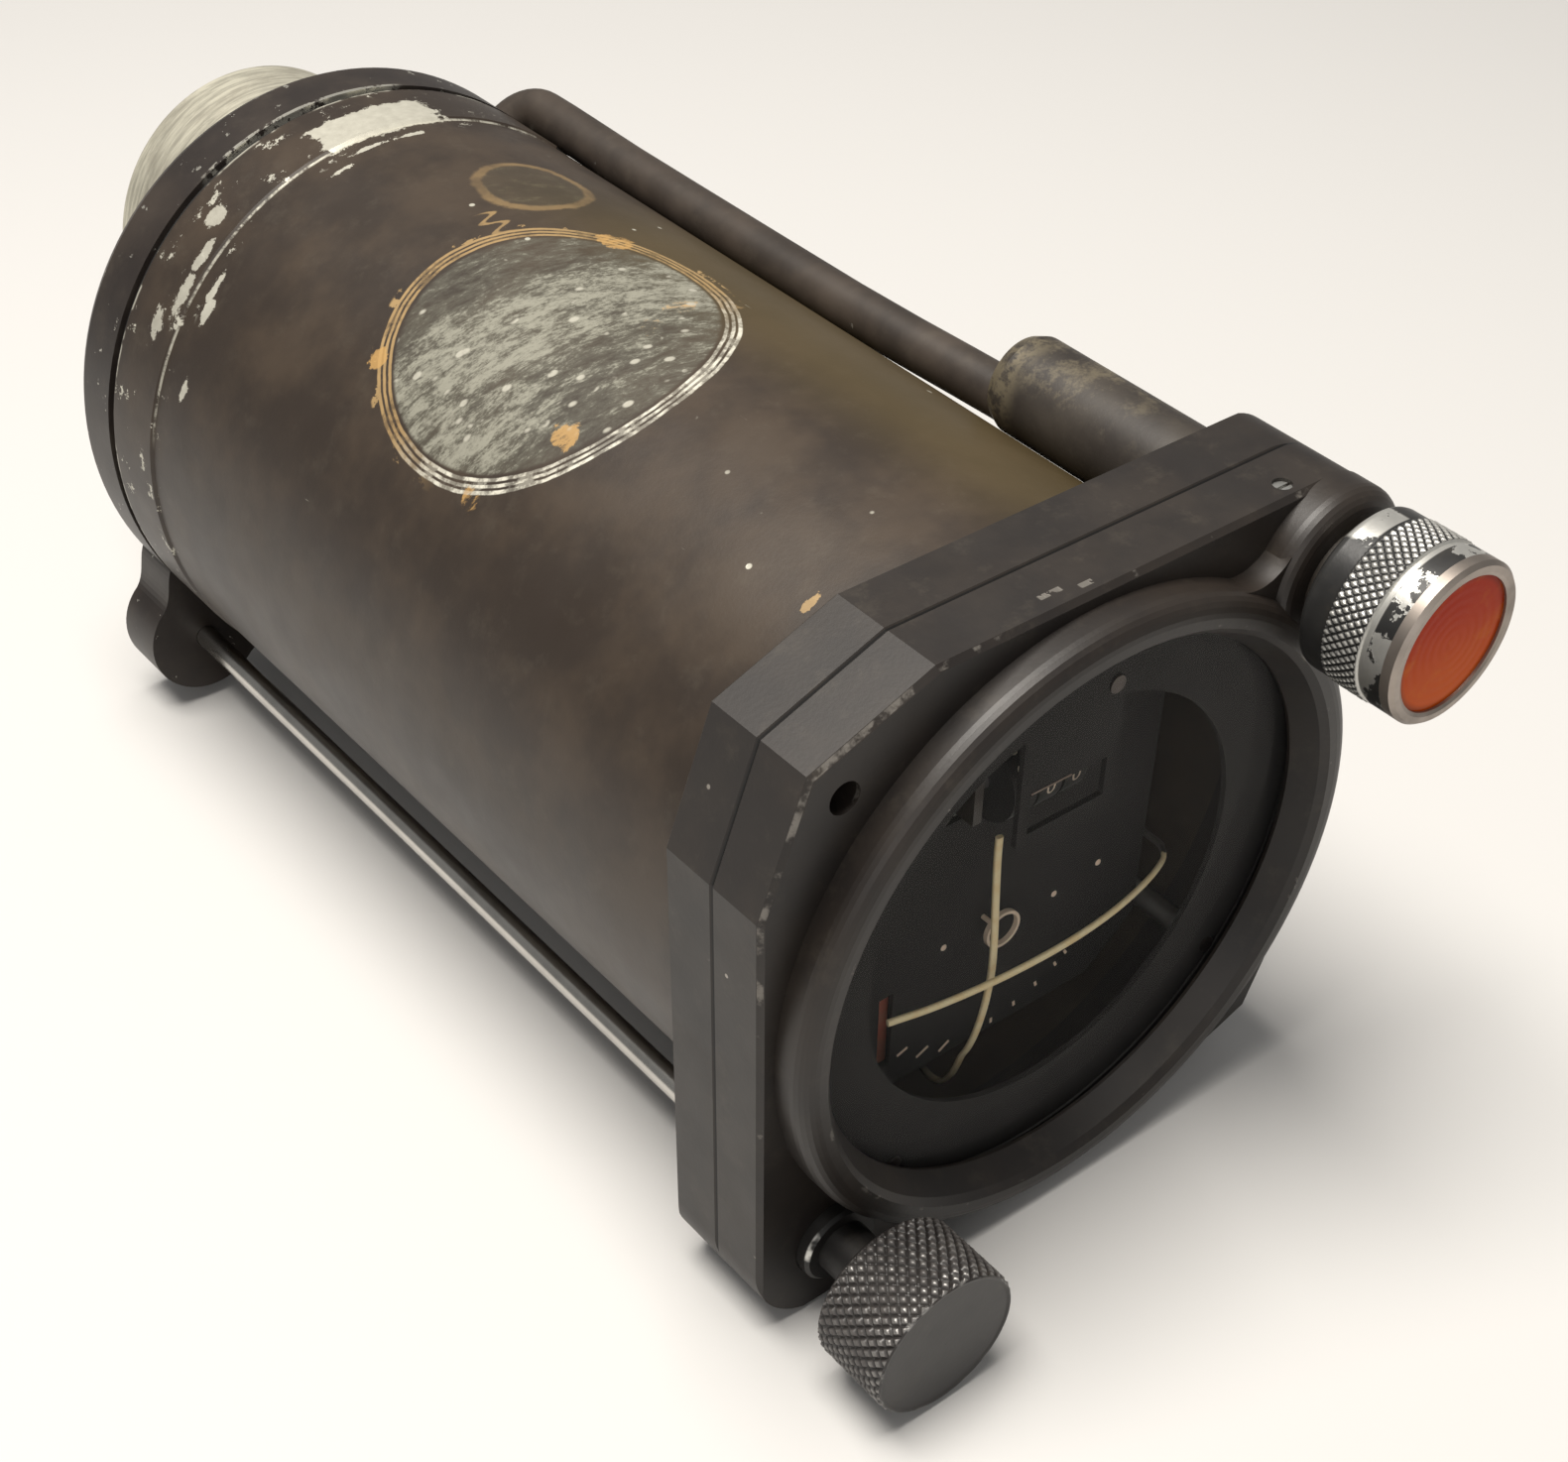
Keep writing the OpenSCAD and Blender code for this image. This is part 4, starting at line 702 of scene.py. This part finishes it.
def tube(name, path, turn, r, node, body, material):
    """Round bar swept along a path of distance from the case axis and depth.

    The path lies in the plane through that axis that is turned from the top by the angle given.
    """
    path = np.asarray(path, float)
    along = np.gradient(path, axis=0)
    along /= np.linalg.norm(along, axis=1)[:, None]
    out = np.array([math.sin(turn), 0.0, math.cos(turn)])
    back = np.array([0.0, 1.0, 0.0])
    aside = np.cross(out, back)
    centre = path[:, :1] * out + path[:, 1:] * back
    normal = along[:, 1:] * out - along[:, :1] * back
    phi = np.linspace(0, 2 * np.pi, 40, endpoint=False)
    outward = np.cos(phi)[None, :, None] * normal[:, None]
    rings = centre[:, None] + r * (outward + np.sin(phi)[None, :, None] * aside)
    piece = build(name, rings.reshape(-1, 3), lattice(len(path), 40), body, material)
    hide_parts(node)
    return piece


def discs(name, spots, y0, y1, body, material):
    """Low round studs: each spot is x, z, radius; the top edge is drawn in a little."""
    turn = np.linspace(0, 2 * np.pi, 20, endpoint=False)
    circle = np.column_stack([np.cos(turn), np.zeros(20), np.sin(turn)])
    depth = np.array([(0, y1, 0), (0, y0 + 0.1, 0), (0, y0, 0)])[:, None]
    cloud = []
    faces = []
    for x, z, radius in spots:
        size = np.array([radius, radius, radius - 0.1])[:, None, None]
        points = np.array([x, 0.0, z]) + size * circle + depth
        faces += lattice(3, 20, offset=len(cloud) * 60)
        cloud.append(points.reshape(-1, 3))
    return build(name, np.concatenate(cloud), faces, body, material, 50)


def dashes(name, lines, y0, y1, width, body, material):
    """Flat painted strokes: each line is x0, z0, x1, z1 with a square end, standing from y1 to y0."""
    cloud = []
    faces = []
    for x0, z0, x1, z1 in lines:
        a = np.array([x0, z0])
        b = np.array([x1, z1])
        along = (b - a) / np.linalg.norm(b - a)
        side = np.array([-along[1], along[0]]) * width / 2
        flat = np.array([a + side, a - side, b - side, b + side])
        points = [np.column_stack([flat[:, 0], np.full(4, y), flat[:, 1]]) for y in (y1, y0)]
        faces += lattice(2, 4, offset=len(cloud) * 8)
        cloud.append(np.concatenate(points))
    return build(name, np.concatenate(cloud), faces, body, material, 30)


def numerals(name, left, body):
    """Ten plain figures on a counter drum: flat figures bent round its axis, a tenth of a turn apart."""
    cloud = []
    faces = []
    total = 0
    for digit in range(10):
        curve = bpy.data.curves.new("figure", "FONT")
        curve.body = str(digit)
        curve.size = 2.9
        curve.align_x = "CENTER"
        curve.align_y = "CENTER"
        curve.resolution_u = 3
        holder = bpy.data.objects.new("figure", curve)
        mesh = bpy.data.meshes.new_from_object(holder)
        flat = np.empty(len(mesh.vertices) * 3)
        mesh.vertices.foreach_get("co", flat)
        flat = flat.reshape(-1, 3)
        angle = flat[:, 1] / DRUM_R - digit * math.tau / 10 + math.radians(-6)
        radius = DRUM_R + 0.04
        bent = np.column_stack([left + DRUM_W / 2 + flat[:, 0] * 0.95, DRUM_Y - radius * np.cos(angle),
                                DRUM_Z + radius * np.sin(angle)])
        cloud.append(bent)
        corners = np.empty(len(mesh.loops), int)
        mesh.loops.foreach_get("vertex_index", corners)
        starts = np.empty(len(mesh.polygons), int)
        mesh.polygons.foreach_get("loop_start", starts)
        faces += [part.tolist() for part in np.split(corners + total, starts[1:])]
        total += len(bent)
        bpy.data.objects.remove(holder)
        bpy.data.curves.remove(curve)
        bpy.data.meshes.remove(mesh)
    return build(name, np.concatenate(cloud), faces, body, MAT["figures"], 30)


def dress(material, *names):
    """Gives a CAD node's slots one material."""
    for name in names:
        node = NODES[name]
        if not node.material_slots:
            node.data.materials.append(material)
        for slot in node.material_slots:
            slot.material = material


MAT = {
    "case": case_paint(),
    "front": flange_paint("ring_paint", True),
    "rear": flange_paint("flange_paint", False),
    "cover": cover_paint(),
    "black": plain_paint("black_paint", 0.66),
    "conduit": plain_paint("conduit_paint", 0.7, (0.024, 0.018, 0.014), (0.05, 0.038, 0.029), (0.42, 0.56)),
    "lamp_tube": lamp_tube_paint(),
    "knurl": knurl_paint(),
    "cap": cap_paint(),
    "shaft": bright_metal("polished_shaft", (0.62, 0.60, 0.56), (0.16, 0.3), (1, 0.02, 1), 0.4),
    "bush": bush_paint(),
    "dark_steel": bright_metal("blued_steel", (0.09, 0.08, 0.075), (0.4, 0.55)),
    "steel": bright_metal("turned_steel", (0.42, 0.42, 0.42), (0.28, 0.42)),
    "alu": bright_metal("plain_aluminium", (0.6, 0.6, 0.58), (0.35, 0.5)),
    "rim": bright_metal("lens_rim_metal", (0.40, 0.35, 0.31), (0.38, 0.52), (1, 1, 1), 0.8),
    "brass": bright_metal("gear_brass", (0.62, 0.42, 0.16), (0.28, 0.42)),
    "copper": bright_metal("coil_copper", (0.42, 0.16, 0.06), (0.35, 0.5), (40, 1, 40)),
    "gold": bright_metal("contact_gold", (0.72, 0.52, 0.2), (0.2, 0.32)),
    "shell": shell_metal(),
    "dial": dial_paint("dial_black", (0.006, 0.0054, 0.0052), 0.85),
    "mask": dial_paint("mask_black", (0.006, 0.0054, 0.0052), 0.85),
    "drum": dial_paint("drum_black", (0.012, 0.012, 0.012), 0.6),
    "needle": cream_paint("needle_cream", (1.0, 0.86, 0.54), (0.95, 0.74, 0.4)),
    "marks": cream_paint("dial_marks_cream", (0.95, 0.78, 0.60), (0.8, 0.64, 0.48)),
    "figures": cream_paint("figure_cream", (0.72, 0.62, 0.48), (0.56, 0.48, 0.37)),
    "edge": cream_paint("window_line", (0.25, 0.19, 0.15), (0.18, 0.13, 0.1)),
    "flag": cream_paint("flag_red", (0.42, 0.12, 0.07), (0.34, 0.14, 0.09)),
    "amber": amber_lens(),
    "glass": clear_glass("dial_glass"),
    "bulb": clear_glass("bulb_glass", (0.95, 0.95, 0.9)),
    "rubber": soft_black("seal_rubber"),
    "insulator": soft_black("insulator", (0.02, 0.024, 0.02), 0.45),
    "phenolic": soft_black("phenolic", (0.09, 0.03, 0.012), 0.4),
}

dress(MAT["case"], "case_can")
dress(MAT["front"], "bezel")
dress(MAT["rear"], "case_flange")
dress(MAT["cover"], "rear_cover")
dress(MAT["black"], "conduit_ferrule", "counter_frame")
dress(MAT["conduit"], "conduit")
dress(MAT["lamp_tube"], "lamp_housing")
dress(MAT["shaft"], "set_shaft")
dress(MAT["bush"], "front_bushing")
dress(MAT["dark_steel"], "mask_screws")
dress(MAT["alu"], "lamp_set_screw")
dress(MAT["steel"], "bezel_screws", "knob_screw", "cover_screws", "connector_screws",
      "resolver_rotor", "counter_shaft", "cross_shaft", "drum_arbor", "v_magnet", "h_magnet", "flag_motor")
dress(MAT["alu"], "dial_posts", "front_plate", "rear_plate", "tie_rods", "resolver_body")
dress(MAT["rim"], "lens_rim")
dress(MAT["brass"], "mount_inserts", "lamp_contact", "set_pinion", "cluster_gear", "main_gear", "bevel_wheel",
      "step_gear")
dress(MAT["copper"], "resolver_stator", "v_coil", "h_coil")
dress(MAT["gold"], "connector_pins")
dress(MAT["shell"], "connector_shell")
dress(MAT["dial"], "dial_plate")
dress(MAT["mask"], "dial_mask")
dress(MAT["drum"], "units_drum", "tens_drum", "hundreds_drum")
dress(MAT["marks"], "centre_ring")
dress(MAT["flag"], "flag_vane")
dress(MAT["amber"], "lamp_lens")
dress(MAT["glass"], "glass")
dress(MAT["bulb"], "lamp_bulb")
dress(MAT["rubber"], "glass_gasket", "cover_seal")
dress(MAT["insulator"], "connector_insert")
dress(MAT["phenolic"], "lamp_socket")

# Set knob: knurled from end to end, with a flat face and a hollow for the shaft at the rear
grip("knob_grip", KNOB,
     [(1.6, -17.2), (0.05, -17.2), (0.05, -19.25), (8.75, -19.25), (9.0, -19.4), (9.15, -19.4), (9.5, -19.0),
      (9.5, -9.2), (8.7, -8.6), (6.2, -8.6), (5.6, -9.8), (1.6, -9.8)],
     (-19.3, -8.9, 9.0), 40, 1.75, 0.42, 480, "course_knob", MAT["knurl"], "set_knob")

# Lamp cap: plain rear band, knurl, bright groove and front ring
grip("cap_grip", LAMP,
     [(5.98, -6.1), (8.5, -6.1), (9.1, -6.6), (9.2, -7.0), (9.2, -9.6), (9.35, -9.75), (9.35, -14.2),
      (9.0, -14.45), (9.0, -14.95), (9.2, -15.1), (9.2, -17.4), (7.8, -17.4), (7.8, -16.5), (6.5, -16.5),
      (6.5, -13.6), (5.98, -13.6)],
     (-14.3, -9.6, 9.05), 56, 1.25, 0.27, 672, "marker_cap", MAT["cap"], "lamp_cap")

# Conduit: leaves the lamp tube clear of the case, then lies along it and turns into the rear cover's rim
RUN = [(42.75, 43.0), (42.7, 47.0), (42.5, 54.0), (42.2, 63.0), (41.98, 74.0), (41.95, 90.0), (41.95, 106.0),
       (41.98, 120.0), (42.15, 129.0), (42.25, 135.0), (42.25, 138.5)]
BEND_R = 5.5
ELBOW = [(36.75 + BEND_R * math.cos(t), 139.5 + BEND_R * math.sin(t)) for t in np.linspace(0, 1.47, 12)]
tube("conduit_tube", RUN + ELBOW, math.radians(46.4), 3.0, "conduit", "case", MAT["conduit"])

# Needles, bowed over the dial and carried back to their staffs
V_PATH = [(0, -34, 8.8), (0, -34.05, 5.4), (0, -34.4, 0), (0, -34.75, -4.6), (0, -34.9, -9.3),
          (0, -34.5, -14), (0, -33.8, -18), (0, -32.8, -22), (0, -31.75, -25), (0, -30.8, -27),
          (0, -29.95, -29.5), (0, -28.95, -31.9), (0, -27.3, -34.4), (0, -25.6, -35.5), (0, -23.9, -35.8),
          (0, -20.5, -35.2), (0, -17.5, -33.9), (0, -14, -33.4), (0, -5, -33.4), (0, 4, -33.4)]
V_PINS = [((0, 0, -35), (0, 0, -32.1), 0.55), ((0, 0, -21.5), (0, 0, -19.3), 0.55),
          ((0, 3.4, -33.8), (0, 3.4, -33), 1.3)]
H_PATH = [(-19.6, -34.3, -9.3), (-14, -35.5, -9.3), (-7.6, -36.35, -9.3), (-2, -36.75, -9.3),
          (3.3, -36.85, -9.3), (8, -36.65, -9.3), (12.9, -36.1, -9.3), (17, -35.3, -9.3), (20, -34.5, -9.3),
          (22.2, -33.7, -9.3), (23.6, -32.9, -9.3), (24.5, -31.6, -9.3), (24.8, -29.5, -9.3),
          (24.8, -12, -9.3), (24.8, 4, -9.3)]
H_PINS = [((-10.7, 0, -9.3), (-8.5, 0, -9.3), 0.55), ((8.5, 0, -9.3), (27.1, 0, -9.3), 0.55),
          ((24, 3.4, -9.3), (25.6, 3.4, -9.3), 1.3)]
needle("v_needle", V_PATH, (1, 0, 0), 0.9, 0.62, "v_pointer", "vertical_needle", REST, V_PINS)
needle("h_needle", H_PATH, (0, 0, 1), 0.9, 0.62, "h_pointer", "horizontal_needle", 0.0, H_PINS)

# Dial: dots beside the ring, short strokes along the lower arc
discs("dial_dots", [(-7.35, -8.8, 0.42), (9.5, -9.95, 0.42), (16.3, -8.8, 0.42)],
      DIAL_Y - 0.12, DIAL_Y + 0.01, "case", MAT["marks"])
ARC = [(1.2, -25.3), (4.75, -24.65), (8.1, -23.4), (11.1, -21.9), (12.6, -20.8)]
LEFT_STROKES = [(-13.4, -22.2, -11.9, -21.7), (-10.4, -24.3, -8.65, -23.5), (-6.9, -25.5, -5.4, -24.6)]
dashes("dial_strokes", [(x * 0.985, z * 0.985, x * 1.015, z * 1.015) for x, z in ARC] + LEFT_STROKES,
       DIAL_Y - 0.06, DIAL_Y + 0.01, 0.36, "case", MAT["marks"])
dashes("window_edge", [(-5.3, 17.85, 0.3, 17.75)], 1.64, 1.71, 0.2, "case", MAT["edge"])

# Counter figures on the three drums
numerals("units_figures", 2.0, "units")
numerals("tens_figures", -1.6, "tens")
numerals("hundreds_figures", -5.2, "hundreds")


def floor_finish():
    """Pale floor for the camera, for gloss and for glass; its diffuse bounce on the part is a middle grey."""
    f = Finish("pale_floor")
    rays = f.tree.nodes.new("ShaderNodeLightPath")
    seen = f.either(rays.outputs["Is Camera Ray"], rays.outputs["Is Glossy Ray"],
                    rays.outputs["Is Transmission Ray"])
    f.set(Base_Color=f.mix(seen, (0.2, 0.196, 0.192), (0.58, 0.573, 0.563)), Roughness=0.9)
    return f.mat


def lay_floor():
    """Plain square floor under the flange's lower side."""
    mesh = bpy.data.meshes.new("floor")
    z = -FLANGE * MM
    mesh.from_pydata([(-6, -6, z), (6, -6, z), (6, 6, z), (-6, 6, z)], [], [(0, 1, 2, 3)])
    mesh.materials.append(floor_finish())
    floor = bpy.data.objects.new("floor", mesh)
    bpy.context.scene.collection.objects.link(floor)


def lamp(name, where, target, size, power, tone):
    """Square soft light at a place, aimed at a point."""
    light = bpy.data.lights.new(name, "AREA")
    light.size = size
    light.energy = power
    light.color = tone
    holder = bpy.data.objects.new(name, light)
    bpy.context.scene.collection.objects.link(holder)
    back = np.array(where, float) - np.array(target, float)
    back /= np.linalg.norm(back)
    side = np.cross((0.0, 0.0, 1.0) if abs(back[2]) < 0.99 else (0.0, 1.0, 0.0), back)
    side /= np.linalg.norm(side)
    up = np.cross(back, side)
    holder.matrix_world = Matrix([[side[i], up[i], back[i], where[i]] for i in range(3)] + [[0, 0, 0, 1]])


def set_camera():
    """Camera fitted to the photograph: azimuth, elevation and roll in degrees, place in metres."""
    az, el, roll = (math.radians(v) for v in (-40.5435, 45.0792, 1.9323))
    back = np.array([math.sin(az) * math.cos(el), -math.cos(az) * math.cos(el), math.sin(el)])
    right = np.cross(-back, (0, 0, 1))
    right /= np.linalg.norm(right)
    up = np.cross(right, -back)
    side = right * math.cos(roll) + up * math.sin(roll)
    top = -right * math.sin(roll) + up * math.cos(roll)
    where = (-0.1420035, -0.128457, 0.1710654)
    data = bpy.data.cameras.new("camera")
    data.sensor_width = 36.0
    data.lens = FOCAL * data.sensor_width / PHOTO_WIDTH
    data.shift_x = SHIFT[0] / PHOTO_WIDTH
    data.shift_y = SHIFT[1] / PHOTO_WIDTH
    data.clip_start = 0.01
    camera = bpy.data.objects.new("camera", data)
    bpy.context.scene.collection.objects.link(camera)
    camera.matrix_world = Matrix([[side[i], top[i], back[i], where[i]] for i in range(3)] + [[0, 0, 0, 1]])
    bpy.context.scene.camera = camera


def set_world():
    """Even pale surroundings."""
    world = bpy.data.worlds.new("pale_room")
    world.use_nodes = True
    back = world.node_tree.nodes["Background"]
    back.inputs[0].default_value = (0.80, 0.80, 0.79, 1)
    back.inputs[1].default_value = 0.3
    bpy.context.scene.world = world


lay_floor()
set_camera()
set_world()
lamp("ceiling_light", (-0.12, 0.10, 0.75), (0, 0.06, 0), 0.45, 11.0, (1.0, 0.955, 0.89))
lamp("front_light", (-0.5, -0.55, 0.35), (0, 0, 0), 0.5, 1.0, (1.0, 0.97, 0.94))
bpy.context.scene.view_settings.view_transform = "Standard"
